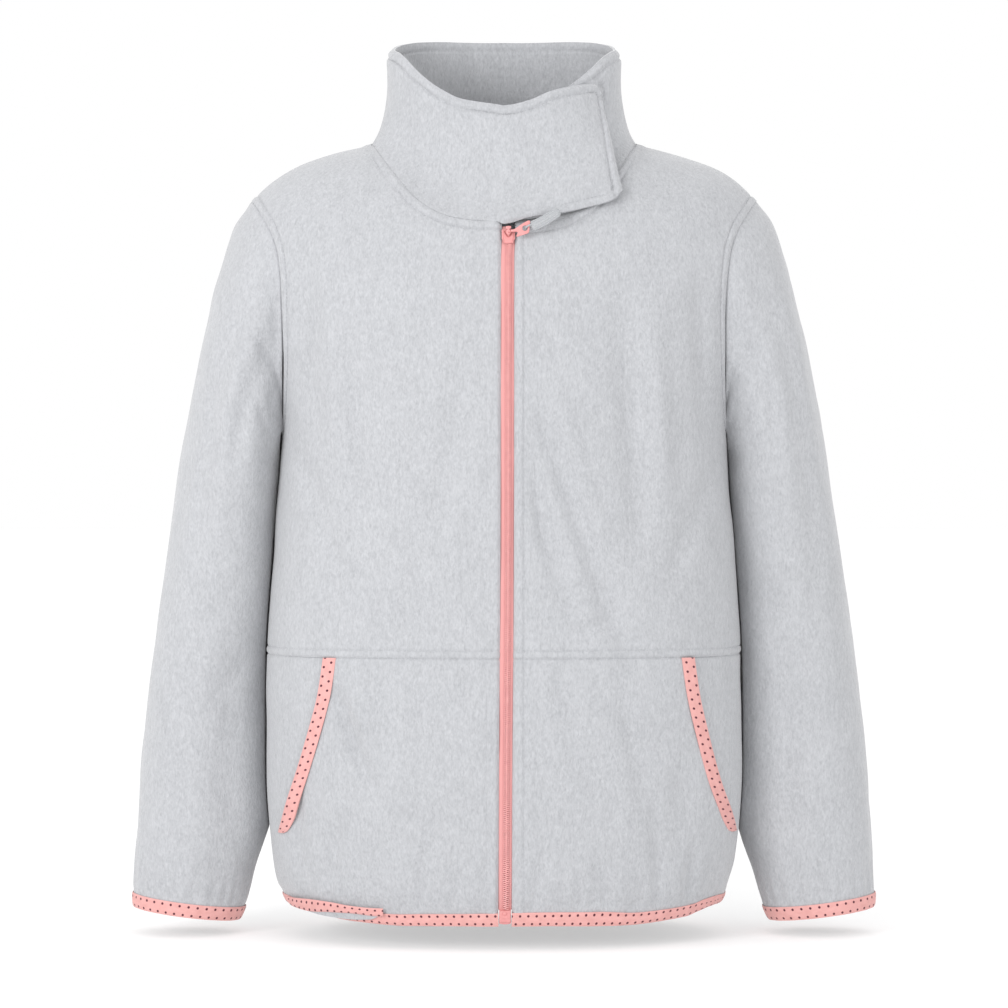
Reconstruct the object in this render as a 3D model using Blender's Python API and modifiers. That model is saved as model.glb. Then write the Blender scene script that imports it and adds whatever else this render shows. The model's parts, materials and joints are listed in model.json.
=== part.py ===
"""Fleece zip jacket, filled out as worn, built from the pieces a maker would cut and sew.

Metres, +Z up. The origin lies on the line between the two high shoulder points, where the
collar, the shoulder seams and the neck meet. -Y is the front, +X the wearer's left.
"""
import math

import bmesh
import bpy
import numpy as np
from mathutils import Matrix

# ---------------------------------------------------------------- driving dimensions
FLEECE = 0.0022          # thickness of one layer of fleece
COLLAR_WALL = 0.0042     # the collar is a double layer
SEAM_GAP = 0.0003        # air left between neighbouring pieces
TAPE = 0.0009            # thickness of the bias binding and of a zip tape

NECK_HALF_WIDTH = 0.108  # centre of the neck to the high shoulder point
NECK_DROP_RIGHT = 0.0690 # front neck, below the high shoulder points, wearer's right
NECK_DROP_LEFT = 0.0745  # the same on the left, where the flap covers it
NECK_DROP_BACK = 0.018
SHOULDER_X = 0.2065      # centre to the shoulder point
SHOULDER_DROP = 0.046    # shoulder point below the high shoulder points
UNDERARM_Z = -0.235
YOKE_Z = -0.415          # seam between the upper and the lower fronts
HEM_FRONT_Z = -0.6152    # top edge of the hem binding at the centre front and back
HEM_SIDE_RISE = 0.0042   # how much higher that edge lies at the side seams
BINDING_FRONT = 0.0093   # height of the hem binding at the centre
BINDING_SIDE = 0.0065    # and at the side seams, where it turns under
HEM_PROUD = 0.0006       # the binding stands this far out over the cloth's faces
CUFF_PROUD = 0.0006
LAP_X_START = -0.0950    # second length of binding on the wearer's right
LAP_X_END = -0.1720
LAP_RISE = 0.0052        # and how far it lies above the first at its middle
SECTION_POWER = 2.4      # 2 is an ellipse, more is squarer
CHEST_FRONT_Z = -0.190   # above this height the front leans back to the shoulder
CHEST_BACK_Z = -0.160
RIDGE_SOFTNESS = 0.040   # rounds the shoulder line where it passes the neck

ZIP_X_TOP = 0.0035       # the zip hangs slightly off the centre line
ZIP_X_HEM = 0.0008
ZIP_HALF_OPENING = 0.0049   # centre of the zip to the folded edge of a front
COIL_HALF_WIDTH = 0.0029
COIL_THICKNESS = 0.0021
COIL_SET_BACK = -0.0011  # front of the coil, from the outer face of the fronts
ZIP_TAPE_WIDTH = 0.0095
ZIP_TAPE_THICKNESS = 0.00063
ZIP_TOP_Z = -0.0750
ZIP_TAPE_TOP_RIGHT_Z = -0.0700   # the right tape and the coil run on a little, under the flap
SLIDER_Z = -0.0825       # middle of the closed slider
SLIDER_HALF_WIDTH = 0.0054
SLIDER_HALF_HEIGHT = 0.0070
SLIDER_FOOT_HALF_WIDTH = 0.0036  # its lower end is narrower
SLIDER_WAIST_Z = -0.0030         # height in the slider at which it starts to narrow
SLIDER_FRONT_Y = -0.0019         # front of the plate, from the cloth
SLIDER_PLATE = 0.0015            # thickness of the plate
KEEL_HALF_WIDTH = 0.0038
KEEL_HALF_HEIGHT = 0.0066
KEEL_BACK_Y = 0.0008
POST_HALF_WIDTH = 0.0009
BAR_Y = -0.0049          # the bridge's bar stands this far in front of the cloth
BAR_RADIUS = 0.0007
BRIDGE_HALF_HEIGHT = 0.0034
EYE_RADIUS = 0.0019      # eye of the pull tab, round the bar
EYE_HALF_HEIGHT = 0.0015
EYE_CLEARANCE = 0.0004   # round the bar and at each post
TAB_THICKNESS = 0.0012
TAB_SLOT_LOW = (0.0110, -0.002, -0.0005)   # corners of the slot that the puller's loop uses
TAB_SLOT_HIGH = (0.0138, 0.002, 0.0046)
PULL_LEAN = math.radians(-4.5)   # the pull rests on the flap's edge, clear of the chest
TAB_OUTLINE = ((0.0014, -0.0014), (0.0044, -0.0022), (0.0062, -0.0054), (0.0072, -0.0058),
               (0.0146, -0.0036), (0.0154, -0.0029), (0.0158, 0.0024), (0.0168, 0.0076),
               (0.0162, 0.0084), (0.0108, 0.0050), (0.0055, 0.0022), (0.0014, 0.0014))
STRAP_START = (0.0190, 0.0048)   # grey puller, from the tab to its free end
STRAP_END = (0.0390, 0.0152)
STRAP_WIDTH = 0.0058
STRAP_THICKNESS = 0.0030
STRAP_EDGE_RADIUS = 0.0009
LOOP_RADIUS = 0.0005     # cord that ties the puller to the tab
LOOP_MIDDLE = (0.0122, 0.0021)
LOOP_ROOT_INSET = (0.0022, 0.0011)
LOOP_CLEARANCE = 0.0008  # from the middle of the tab to the cord, at the root
LOOP_SWELL = 0.0034      # how much further the cord stands off in the middle
ZIP_BOX_HALF_HEIGHT = 0.0058
ZIP_BOX_DROP = 0.0035    # middle of the box below the top edge of the hem binding
ZIP_BOX_HALF_WIDTH = 0.0044
ZIP_BOX_FRONT_Y = -0.0012
ZIP_BOX_BACK_Y = 0.0026
ZIP_BOX_EDGE_RADIUS = 0.0006

POCKET_END_Z = -0.558    # lower end of the bound pocket mouth
POCKET_SHIFT = {-1: -0.0020, 1: 0.0020}   # the two mouths are not quite alike
POCKET_BINDING_WIDTH = 0.0096
POCKET_BINDING_END = 0.45    # share of that width left at the rounded lower end
POCKET_RECESS = 0.0012   # the side piece lies behind the mouth by this much
POCKET_FOOT_SHARE = 0.3  # share of a lower front's rows that lie below the mouth's end

COLLAR_TOP_HALF_WIDTH = 0.0955
COLLAR_TOP_FRONT_Y = -0.085
COLLAR_TOP_BACK_Y = 0.065
COLLAR_TOP_FRONT_Z = 0.0225
COLLAR_TOP_SIDE_Z = 0.0795
COLLAR_TOP_BACK_Z = 0.0934
COLLAR_ROLL = 0.0020     # the folded top edge is rounded off by this much outside
COLLAR_FLARE = 4.0       # how late the collar swings out to meet the neck seam
COLLAR_START = 4.8       # degrees from the centre front to the under end of the collar
FLAP_LENGTH_IN_DEGREES = 60.0
FLAP_STRAIGHT = 0.065    # share of the flap's height that hangs straight over the zip
FLAP_START = 356.9       # degrees round at which the flap begins, on the wearer's right
UNDER_INSET = 0.0050     # how far the under end is tucked in below the flap

# Torso sections. half_width to the side seam, front and back depth from the side plane.
BODY = {
    "height":      (-0.640, -0.6250, -0.6105, -0.6000, -0.5800, -0.5460, -0.5150, -0.4700,
                    -0.4200, -0.3310, -0.2350, -0.1500, -0.0460, 0.0500),
    "half_width":  (0.1640, 0.1730, 0.1800, 0.1845, 0.1890, 0.1925, 0.1943, 0.1945,
                    0.1938, 0.1880, 0.1815, 0.1960, 0.2250, 0.2400),
    "front_depth": (0.0990, 0.1045, 0.1085, 0.1115, 0.1140, 0.1160, 0.1170, 0.1175,
                    0.1175, 0.1170, 0.1155, 0.1150, 0.1150, 0.1150),
    "back_depth":  (0.0890, 0.0940, 0.0980, 0.1005, 0.1030, 0.1050, 0.1060, 0.1065,
                    0.1065, 0.1060, 0.1050, 0.1040, 0.1020, 0.1020),
}
# Armhole edge of the fronts and the back, as a distance from the centre line.
ARMHOLE = {
    "height": (-0.2350, -0.2250, -0.2000, -0.1600, -0.1200, -0.0950, -0.0750, -0.0600, -0.0460),
    "reach":  (0.1815, 0.1795, 0.1785, 0.1780, 0.1785, 0.1812, 0.1875, 0.1965, 0.2065),
}
# Front neck curve: how far out from the centre, and how much of the full drop is reached.
NECK_CURVE = {
    "out":  (0.0, 0.020, 0.040, 0.055, 0.070, 0.085, 0.097, 0.108),
    "drop": (1.0, 0.990, 0.950, 0.871, 0.721, 0.471, 0.236, 0.0),
}
# Pocket mouth on the lower fronts, as a distance from the centre line.
POCKET_MOUTH = {
    "height": (-0.6400, -0.5580, -0.5350, -0.5050, -0.4750, -0.4450, -0.4150),
    "reach":  (0.2060, 0.1830, 0.1765, 0.1670, 0.1590, 0.1520, 0.1475),
}
# Sleeve sections, from the armhole to the cuff: the outermost and innermost point of each,
# the middle of the section from front to back, and half its size that way.
SLEEVE = {
    "outer_x":    (0.2065, 0.2210, 0.2335, 0.2435, 0.2555, 0.2660, 0.2765, 0.2860, 0.2930,
                   0.2985, 0.3015, 0.3035),
    "outer_z":    (-0.0460, -0.0690, -0.1060, -0.1460, -0.2000, -0.2620, -0.3360, -0.4000,
                   -0.4570, -0.5170, -0.5660, -0.6130),
    "inner_x":    (0.1818, 0.1850, 0.1870, 0.1885, 0.1900, 0.1918, 0.1945, 0.1968, 0.1975,
                   0.1962, 0.2035, 0.2130),
    "inner_z":    (-0.2345, -0.2390, -0.2470, -0.2590, -0.2820, -0.3180, -0.3740, -0.4290,
                   -0.4830, -0.5420, -0.5900, -0.6245),
    "centre_y":   (-0.0030, -0.0020, 0.0000, 0.0020, 0.0050, 0.0080, 0.0100, 0.0100, 0.0090,
                   0.0070, 0.0040, 0.0000),
    "half_depth": (0.0610, 0.0625, 0.0630, 0.0625, 0.0610, 0.0590, 0.0565, 0.0540, 0.0510,
                   0.0475, 0.0425, 0.0345),
}
CUFF_OUTER = (0.3030, -0.6225)    # x and z of the binding's lower edge
CUFF_INNER = (0.2170, -0.6335)
CUFF_HALF_DEPTH = 0.0330
# The free flap of the collar, from the centre front to its end, as seen from the front.
FLAP = {
    "along":    (0.00, 0.05, 0.10, 0.30, 0.52, 0.76, 0.93, 1.00),
    "bottom_x": (-0.0058, -0.0015, 0.0030, 0.0220, 0.0440, 0.0680, 0.0865, 0.0925),
    "bottom_z": (-0.0686, -0.0722, -0.0740, -0.0692, -0.0664, -0.0612, -0.0555, -0.0490),
    "top_x":    (-0.0052, -0.0012, 0.0028, 0.0190, 0.0380, 0.0585, 0.0735, 0.0790),
    "top_z":    (0.0225, 0.0225, 0.0227, 0.0262, 0.0345, 0.0402, 0.0430, 0.0380),
    "lift":     (0.0047, 0.0047, 0.0048, 0.0054, 0.0062, 0.0068, 0.0078, 0.0085),
}
# Largest folds of the fronts: where a trough starts and ends, its half width and depth.
FRONT_FOLDS = (
    {"x": (0.028, 0.093), "z": (-0.216, -0.395), "half_width": 0.012, "depth": 0.0030},
    {"x": (0.026, 0.048), "z": (-0.296, -0.385), "half_width": 0.010, "depth": 0.0022},
    {"x": (0.091, 0.106), "z": (-0.133, -0.278), "half_width": 0.015, "depth": 0.0034},
    {"x": (0.143, 0.133), "z": (-0.497, -0.569), "half_width": 0.012, "depth": 0.0034},
    {"x": (-0.161, -0.148), "z": (-0.080, -0.234), "half_width": 0.012, "depth": 0.0040},
    {"x": (-0.125, -0.115), "z": (-0.458, -0.490), "half_width": 0.010, "depth": 0.0024},
    {"x": (-0.153, -0.153), "z": (-0.508, -0.557), "half_width": 0.011, "depth": 0.0030},
)
BACK_FOLDS = (
    {"x": (0.155, 0.143), "z": (-0.110, -0.250), "half_width": 0.013, "depth": 0.0040},
    {"x": (-0.152, -0.141), "z": (-0.115, -0.240), "half_width": 0.013, "depth": 0.0040},
    {"x": (-0.060, -0.020), "z": (-0.330, -0.395), "half_width": 0.014, "depth": 0.0030},
    {"x": (0.030, 0.074), "z": (-0.360, -0.420), "half_width": 0.013, "depth": 0.0028},
    {"x": (0.090, 0.098), "z": (-0.470, -0.575), "half_width": 0.014, "depth": 0.0032},
    {"x": (-0.105, -0.110), "z": (-0.480, -0.580), "half_width": 0.014, "depth": 0.0030},
)

COLOURS = {
    "fleece": ((0.66, 0.67, 0.70, 1.0), 0.95),
    "binding": ((0.86, 0.40, 0.38, 1.0), 0.75),
    "zip": ((0.85, 0.36, 0.35, 1.0), 0.45),
    "puller": ((0.52, 0.55, 0.57, 1.0), 0.60),
}


# ---------------------------------------------------------------- curves through tables
def read(table, column, at, key="height"):
    """Smooth value of a table's column at a place between its rows."""
    places = table[key]
    values = table[column]
    last = len(places) - 1
    at = min(max(at, places[0]), places[last])
    row = 0
    while row < last - 1 and at > places[row + 1]:
        row += 1
    span = places[row + 1] - places[row]
    part = (at - places[row]) / span

    def slope(index):
        if index in (0, last):
            near = 1 if index == 0 else last - 1
            return (values[near] - values[index]) / (places[near] - places[index])
        before = (values[index] - values[index - 1]) / (places[index] - places[index - 1])
        after = (values[index + 1] - values[index]) / (places[index + 1] - places[index])
        if before * after <= 0.0:
            return 0.0
        return 2.0 * before * after / (before + after)

    start, end = slope(row) * span, slope(row + 1) * span
    square, cube = part * part, part * part * part
    return ((2 * cube - 3 * square + 1) * values[row] + (cube - 2 * square + part) * start
            + (3 * square - 2 * cube) * values[row + 1] + (cube - square) * end)


def ease(low, high, at):
    """0 below low, 1 above high, with a soft start and end."""
    part = min(max((at - low) / (high - low), 0.0), 1.0)
    return part * part * (3.0 - 2.0 * part)


def blend(first, second, part):
    return first + (second - first) * part


# ---------------------------------------------------------------- the torso's surface
def shoulder_line(x):
    """Height of the shoulder seam at a distance x from the centre."""
    high = math.hypot(NECK_HALF_WIDTH, RIDGE_SOFTNESS)
    out = math.hypot(SHOULDER_X, RIDGE_SOFTNESS)
    along = (math.hypot(x, RIDGE_SOFTNESS) - high) / (out - high)
    steep = max(along, 0.0) ** 4
    return -SHOULDER_DROP * (0.52 * along + 0.48 * steep)


def fold_depth(folds, x, z):
    """Sum of the soft troughs at a place on a panel."""
    total = 0.0
    for fold in folds:
        run = np.array((fold["x"][1] - fold["x"][0], fold["z"][1] - fold["z"][0]))
        here = np.array((x - fold["x"][0], z - fold["z"][0]))
        along = float(here @ run) / float(run @ run)
        away = abs(float(here[0] * run[1] - here[1] * run[0])) / float(np.linalg.norm(run))
        ends = ease(-0.25, 0.3, along) * (1.0 - ease(0.7, 1.25, along))
        total += fold["depth"] * ends * math.exp(-(away / fold["half_width"]) ** 2)
    return total


def torso_shape(face, x, z):
    """The three factors that give the torso's depth: full depth, across, upwards."""
    full = read(BODY, face + "_depth", z)
    across = 1.0 - (abs(x) / read(BODY, "half_width", z)) ** SECTION_POWER
    chest = CHEST_FRONT_Z if face == "front" else CHEST_BACK_Z
    rise = max(0.0, (z - chest) / (shoulder_line(x) - chest))
    upward = 1.0 - rise ** SECTION_POWER
    return full, across, upward


def torso_depth(face, x, z):
    full, across, upward = torso_shape(face, x, z)
    return full * (max(across, 0.0) * max(upward, 0.0)) ** (1.0 / SECTION_POWER)


def torso_normal(face, x, z):
    """Outward direction of the torso at a place, from the slope of its implicit form."""
    depth = torso_depth(face, x, z)
    step = 0.0004

    def form(px, py, pz):
        full, across, upward = torso_shape(face, px, pz)
        return (abs(py) / full) ** SECTION_POWER - across * upward

    slope = np.array((form(x + step, depth, z) - form(x - step, depth, z),
                      form(x, depth + step, z) - form(x, max(depth - step, 0.0), z),
                      form(x, depth, z + step) - form(x, depth, z - step)))
    if depth < step:
        slope[1] = 0.0
    slope /= np.linalg.norm(slope)
    if face == "front":
        slope[1] = -slope[1]
    return slope


def torso_point(face, x, z, out=0.0):
    """Point of the front or back, moved out along its normal. Half a seam gap parts the two."""
    folds = FRONT_FOLDS if face == "front" else BACK_FOLDS
    depth = torso_depth(face, x, z)
    fade = ease(0.010, 0.045, depth)
    depth = depth - fold_depth(folds, x, z) * fade + SEAM_GAP / 2
    place = np.array((x, -depth if face == "front" else depth, z))
    return place + out * torso_normal(face, x, z)


def zip_x(z):
    return blend(ZIP_X_HEM, ZIP_X_TOP, ease(-0.62, -0.08, z))


def hem_z(around):
    """Top edge of the hem binding. around is 0 at the centre front or back, 1 at the side."""
    return HEM_FRONT_Z + HEM_SIDE_RISE * around * around


def neck_front(part, drop):
    """Front neck curve in the front view, from the centre (0) to the shoulder (1)."""
    x = NECK_HALF_WIDTH * math.sin(part * math.pi / 2)
    return x, -drop * read(NECK_CURVE, "drop", x, "out")


def neck_back(part):
    turn = part * math.pi / 2
    x = NECK_HALF_WIDTH * math.sin(turn)
    return x, -NECK_DROP_BACK * (1.0 - (x / NECK_HALF_WIDTH) ** 2.2)


# ---------------------------------------------------------------- making walls of cloth
def make_object(name, mesh, colour):
    material = bpy.data.materials.get(colour)
    if material is None:
        material = bpy.data.materials.new(colour)
        material.use_nodes = True
        shader = material.node_tree.nodes["Principled BSDF"]
        shader.inputs["Base Color"].default_value = COLOURS[colour][0]
        shader.inputs["Roughness"].default_value = COLOURS[colour][1]
    mesh.materials.append(material)
    piece = bpy.data.objects.new(name, mesh)
    PARTS.objects.link(piece)
    return piece


def cloth_wall(name, outer, inner, colour, ring=False, cells=None):
    """Closed wall between two grids of points, rows by columns.

    ring joins the last column to the first. cells says which squares of the grid are cloth.
    """
    rows, columns = len(outer), len(outer[0])
    across = columns if ring else columns - 1
    if cells is None:
        cells = [[True] * across for _ in range(rows - 1)]
    work = bmesh.new()
    made = {}

    def corner(layer, row, column):
        key = (layer, row, column % columns)
        if key not in made:
            grid = outer if layer == 0 else inner
            made[key] = work.verts.new(grid[row][column % columns])
        return made[key]

    def is_cloth(row, column):
        if ring:
            column %= across
        return 0 <= row < rows - 1 and 0 <= column < across and cells[row][column]

    for row in range(rows - 1):
        for column in range(across):
            if not cells[row][column]:
                continue
            loop = ((row, column), (row, column + 1), (row + 1, column + 1), (row + 1, column))
            beside = ((row - 1, column), (row, column + 1), (row + 1, column), (row, column - 1))
            work.faces.new([corner(0, *place) for place in loop])
            work.faces.new([corner(1, *place) for place in reversed(loop)])
            for index, neighbour in enumerate(beside):
                if not is_cloth(*neighbour):
                    first, second = loop[index], loop[(index + 1) % 4]
                    work.faces.new((corner(0, *second), corner(0, *first),
                                    corner(1, *first), corner(1, *second)))
    bmesh.ops.recalc_face_normals(work, faces=work.faces)
    mesh = bpy.data.meshes.new(name)
    work.to_mesh(mesh)
    work.free()
    mesh.shade_smooth()
    mesh.set_sharp_from_angle(angle=math.radians(50))
    return make_object(name, mesh, colour)


def coons(left, right, bottom, top, rows, columns):
    """Grid in the front view that fills four edges. Each edge is a list of x and z pairs."""
    left, right = np.array(left), np.array(right)
    bottom, top = np.array(bottom), np.array(top)
    grid = np.zeros((rows, columns, 2))
    for j in range(rows):
        up = (right[j][1] - right[0][1]) / (right[-1][1] - right[0][1])
        for i in range(columns):
            side = i / (columns - 1)
            ruled = blend(left[j], right[j], side) + blend(bottom[i], top[i], up)
            flat = blend(blend(bottom[0], bottom[-1], side), blend(top[0], top[-1], side), up)
            grid[j, i] = ruled - flat
    return grid


def torso_wall(name, face, grid, colour="fleece", outside=0.0, thickness=FLEECE, cells=None):
    outer = [[torso_point(face, x, z, outside) for x, z in row] for row in grid]
    inner = [[torso_point(face, x, z, outside - thickness) for x, z in row] for row in grid]
    return cloth_wall(name, outer, inner, colour, cells=cells)


# ---------------------------------------------------------------- fronts and back
ARMHOLE_STEPS = 12       # half as many points again go round each armhole's front
SIDE_STEPS = 5           # rows between the yoke seam and the underarm
NECK_PARTS = (0.0, 0.11, 0.22, 0.32, 0.42, 0.52, 0.62, 0.72, 0.81, 0.89, 0.95, 1.0)
SHOULDER_COLUMNS = 5


def armhole_height(turn):
    """Height on the armhole for a turn from the shoulder point (0) to the underarm (pi)."""
    middle = (UNDERARM_Z - SHOULDER_DROP) / 2
    return middle + (-SHOULDER_DROP - UNDERARM_Z) / 2 * math.cos(turn)


def side_edge(lowest):
    """Side seam and armhole from a height up to the shoulder point."""
    places = []
    for step in range(SIDE_STEPS):
        z = blend(lowest, UNDERARM_Z, step / SIDE_STEPS)
        places.append((read(BODY, "half_width", z), z))
    for step in range(ARMHOLE_STEPS + 1):
        z = armhole_height(math.pi * (1 - step / ARMHOLE_STEPS))
        places.append((read(ARMHOLE, "reach", z), z))
    return places


def front_upper(side, name):
    lowest = YOKE_Z + SEAM_GAP / 2
    right = side_edge(lowest)
    drop = NECK_DROP_LEFT if side > 0 else NECK_DROP_RIGHT
    columns = len(NECK_PARTS) + SHOULDER_COLUMNS
    top = [neck_front(part, drop) for part in NECK_PARTS]
    for step in range(1, SHOULDER_COLUMNS + 1):
        x = blend(NECK_HALF_WIDTH, SHOULDER_X, step / SHOULDER_COLUMNS)
        top.append((x, shoulder_line(x)))
    edge = side * zip_x(ZIP_TOP_Z) + ZIP_HALF_OPENING
    top[0] = (edge, top[0][1])
    bottom = []
    foot = side * zip_x(lowest) + ZIP_HALF_OPENING
    for step in range(columns):
        part = math.sin(step / (columns - 1) * math.pi / 2)
        bottom.append((blend(foot, right[0][0], part), lowest))
    left = []
    for x, z in right:
        part = (z - right[0][1]) / (right[-1][1] - right[0][1])
        z = blend(lowest, top[0][1], part)
        left.append((side * zip_x(z) + ZIP_HALF_OPENING, z))
    grid = coons(left, right, bottom, top, len(right), columns)
    grid[:, :, 0] *= side
    torso_wall(name, "front", grid)


def pocket_mouth(side, z):
    shift = POCKET_SHIFT[side] * ease(-0.60, -0.55, z)
    return read(POCKET_MOUTH, "reach", z) + shift


def front_lower(side, name):
    """One front below the yoke seam, with the pocket mouth cut away down to its end."""
    centre_columns, side_columns, rows = 9, 6, 13

    def front_edge(z):
        return side * zip_x(z) + ZIP_HALF_OPENING

    def reach(part, z):
        mouth = min(pocket_mouth(side, z), read(BODY, "half_width", z) * 0.985)
        if part <= 1.0:
            return blend(front_edge(z), mouth, part)
        turn = math.sin((part - 1.0) * math.pi / 2)
        return blend(mouth, read(BODY, "half_width", z), turn)

    heights_up = [j / (rows - 1) for j in range(rows)]
    grid = np.zeros((rows, centre_columns + side_columns - 1, 2))
    cells = []
    for j, up in enumerate(heights_up):
        for i in range(centre_columns + side_columns - 1):
            if i < centre_columns:
                part = i / (centre_columns - 1)
            else:
                part = 1.0 + (i - centre_columns + 1) / (side_columns - 1)
            z = YOKE_Z
            for _ in range(3):
                around = reach(part, z) / read(BODY, "half_width", z)
                foot = hem_z(around) + SEAM_GAP
                if up <= POCKET_FOOT_SHARE:
                    z = blend(foot, POCKET_END_Z, up / POCKET_FOOT_SHARE)
                else:
                    above = (up - POCKET_FOOT_SHARE) / (1.0 - POCKET_FOOT_SHARE)
                    z = blend(POCKET_END_Z, YOKE_Z - SEAM_GAP / 2, above)
            grid[j, i] = (side * reach(part, z), z)
    end_row = next(j for j, up in enumerate(heights_up) if up >= POCKET_FOOT_SHARE - 1e-9)
    grid[end_row, :, 1] = POCKET_END_Z
    for j in range(rows - 1):
        cells.append([i < centre_columns - 1 or j < end_row
                      for i in range(centre_columns + side_columns - 2)])
    torso_wall(name, "front", grid, cells=cells)


def pocket_side(side, name):
    """The piece that shows between the bound mouth and the side seam, set back at the mouth."""
    rows, columns = 10, 6
    outer, inner = [], []
    for j in range(rows):
        z = blend(POCKET_END_Z + SEAM_GAP, YOKE_Z - SEAM_GAP / 2, j / (rows - 1))
        mouth = pocket_mouth(side, z) + SEAM_GAP * 1.3
        edge = read(BODY, "half_width", z)
        outer_row, inner_row = [], []
        for i in range(columns):
            x = side * blend(mouth, edge, math.sin(i / (columns - 1) * math.pi / 2))
            back = -POCKET_RECESS * (1.0 - ease(0.0, 0.7, i / (columns - 1)))
            outer_row.append(torso_point("front", x, z, back))
            inner_row.append(torso_point("front", x, z, back - FLEECE))
        outer.append(outer_row)
        inner.append(inner_row)
    cloth_wall(name, outer, inner, "fleece")


def pocket_binding(side, name):
    """Bias tape along the pocket mouth, lying on the front, narrowed to a round end."""
    rows, columns = 14, 4
    outer, inner = [], []
    for j in range(rows):
        up = j / (rows - 1)
        z = blend(POCKET_END_Z + 0.0008, YOKE_Z - SEAM_GAP, up)
        width = POCKET_BINDING_WIDTH * blend(POCKET_BINDING_END, 1.0, min(1.0, up * 9.0) ** 0.5)
        outer_row, inner_row = [], []
        for i in range(columns):
            x = side * (pocket_mouth(side, z) - width * (1 - i / (columns - 1)))
            outer_row.append(torso_point("front", x, z, SEAM_GAP + TAPE))
            inner_row.append(torso_point("front", x, z, SEAM_GAP))
        outer.append(outer_row)
        inner.append(inner_row)
    cloth_wall(name, outer, inner, "binding")


def back_panel(name):
    """One piece from hem to neck, cut on the fold: made as a right and a left half grid."""
    columns = len(NECK_PARTS) + SHOULDER_COLUMNS
    lowest = hem_z(1.0) + SEAM_GAP
    right = []
    low_steps = 6
    for step in range(low_steps):
        z = blend(lowest, YOKE_Z, step / low_steps)
        right.append((read(BODY, "half_width", z), z))
    right += side_edge(YOKE_Z)
    top = [neck_back(part) for part in NECK_PARTS]
    for step in range(1, SHOULDER_COLUMNS + 1):
        x = blend(NECK_HALF_WIDTH, SHOULDER_X, step / SHOULDER_COLUMNS)
        top.append((x, shoulder_line(x)))
    bottom = []
    for step in range(columns):
        part = math.sin(step / (columns - 1) * math.pi / 2)
        bottom.append((right[0][0] * part, hem_z(part) + SEAM_GAP))
    left = []
    for x, z in right:
        part = (z - right[0][1]) / (right[-1][1] - right[0][1])
        left.append((0.0, blend(bottom[0][1], top[0][1], part)))
    half = coons(left, right, bottom, top, len(right), columns)
    mirrored = half[:, :0:-1, :].copy()
    mirrored[:, :, 0] *= -1
    torso_wall(name, "back", np.concatenate((mirrored, half), axis=1))


# ---------------------------------------------------------------- hem binding
def hem_ring_point(turn, down, out):
    """Point of the hem binding. turn goes round from the centre front, down is 0 to 1."""
    side, forward = math.sin(turn), math.cos(turn)
    across = math.copysign(abs(side) ** (2 / SECTION_POWER), side)
    ahead = math.copysign(abs(forward) ** (2 / SECTION_POWER), forward)
    around = abs(across)
    height = blend(BINDING_FRONT, BINDING_SIDE, around * around)
    z = hem_z(around) - SEAM_GAP - down * height
    depth = read(BODY, "front_depth" if forward > 0 else "back_depth", z)
    width = read(BODY, "half_width", z)
    direction = np.array((side / width, -forward / depth, 0.0))
    direction /= np.linalg.norm(direction)
    return np.array((width * across, -depth * ahead, z)) + out * direction


def hem_turn(x):
    """Turn at which the hem ring passes a distance x from the centre."""
    width = read(BODY, "half_width", HEM_FRONT_Z)
    return math.asin((abs(x) / width) ** (SECTION_POWER / 2))


def hem_binding(name):
    """Ring of bias tape folded round the hem, open at the zip."""
    steps, levels = 64, 3
    first = hem_turn(zip_x(HEM_FRONT_Z) + ZIP_HALF_OPENING)
    last = 2 * math.pi - hem_turn(ZIP_HALF_OPENING - zip_x(HEM_FRONT_Z))
    turns = [blend(first, last, step / steps) for step in range(steps + 1)]
    outer, inner = [], []
    for level in range(levels):
        down = level / (levels - 1)
        swell = HEM_PROUD * (1.0 + math.sin(math.pi * down))
        outer.append([hem_ring_point(turn, down, swell) for turn in turns])
        inner.append([hem_ring_point(turn, down, -FLEECE - HEM_PROUD) for turn in turns])
    cloth_wall(name, outer, inner, "binding")


def hem_binding_lap(name):
    """Second length of the same tape, lapped over the front of the hem on the right."""
    columns, rows = 12, 3
    outer, inner = [], []
    for j in range(rows):
        down = j / (rows - 1)
        outer_row, inner_row = [], []
        for i in range(columns):
            x = blend(LAP_X_START, LAP_X_END, i / (columns - 1))
            around = abs(x) / read(BODY, "half_width", HEM_FRONT_Z)
            raised = LAP_RISE * math.sin(math.pi * blend(0.25, 1.0, i / (columns - 1)))
            z = hem_z(around) + raised - down * blend(BINDING_FRONT, BINDING_SIDE, around ** 2)
            outside = 2 * HEM_PROUD + SEAM_GAP
            outer_row.append(torso_point("front", x, z, outside + TAPE))
            inner_row.append(torso_point("front", x, z, outside))
        outer.append(outer_row)
        inner.append(inner_row)
    cloth_wall(name, outer, inner, "binding")


# ---------------------------------------------------------------- sleeves and cuffs
SLEEVE_ROWS = 22
SLEEVE_TURN_STEPS = 24
SLEEVE["row"] = tuple(range(len(SLEEVE["outer_x"])))


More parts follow.
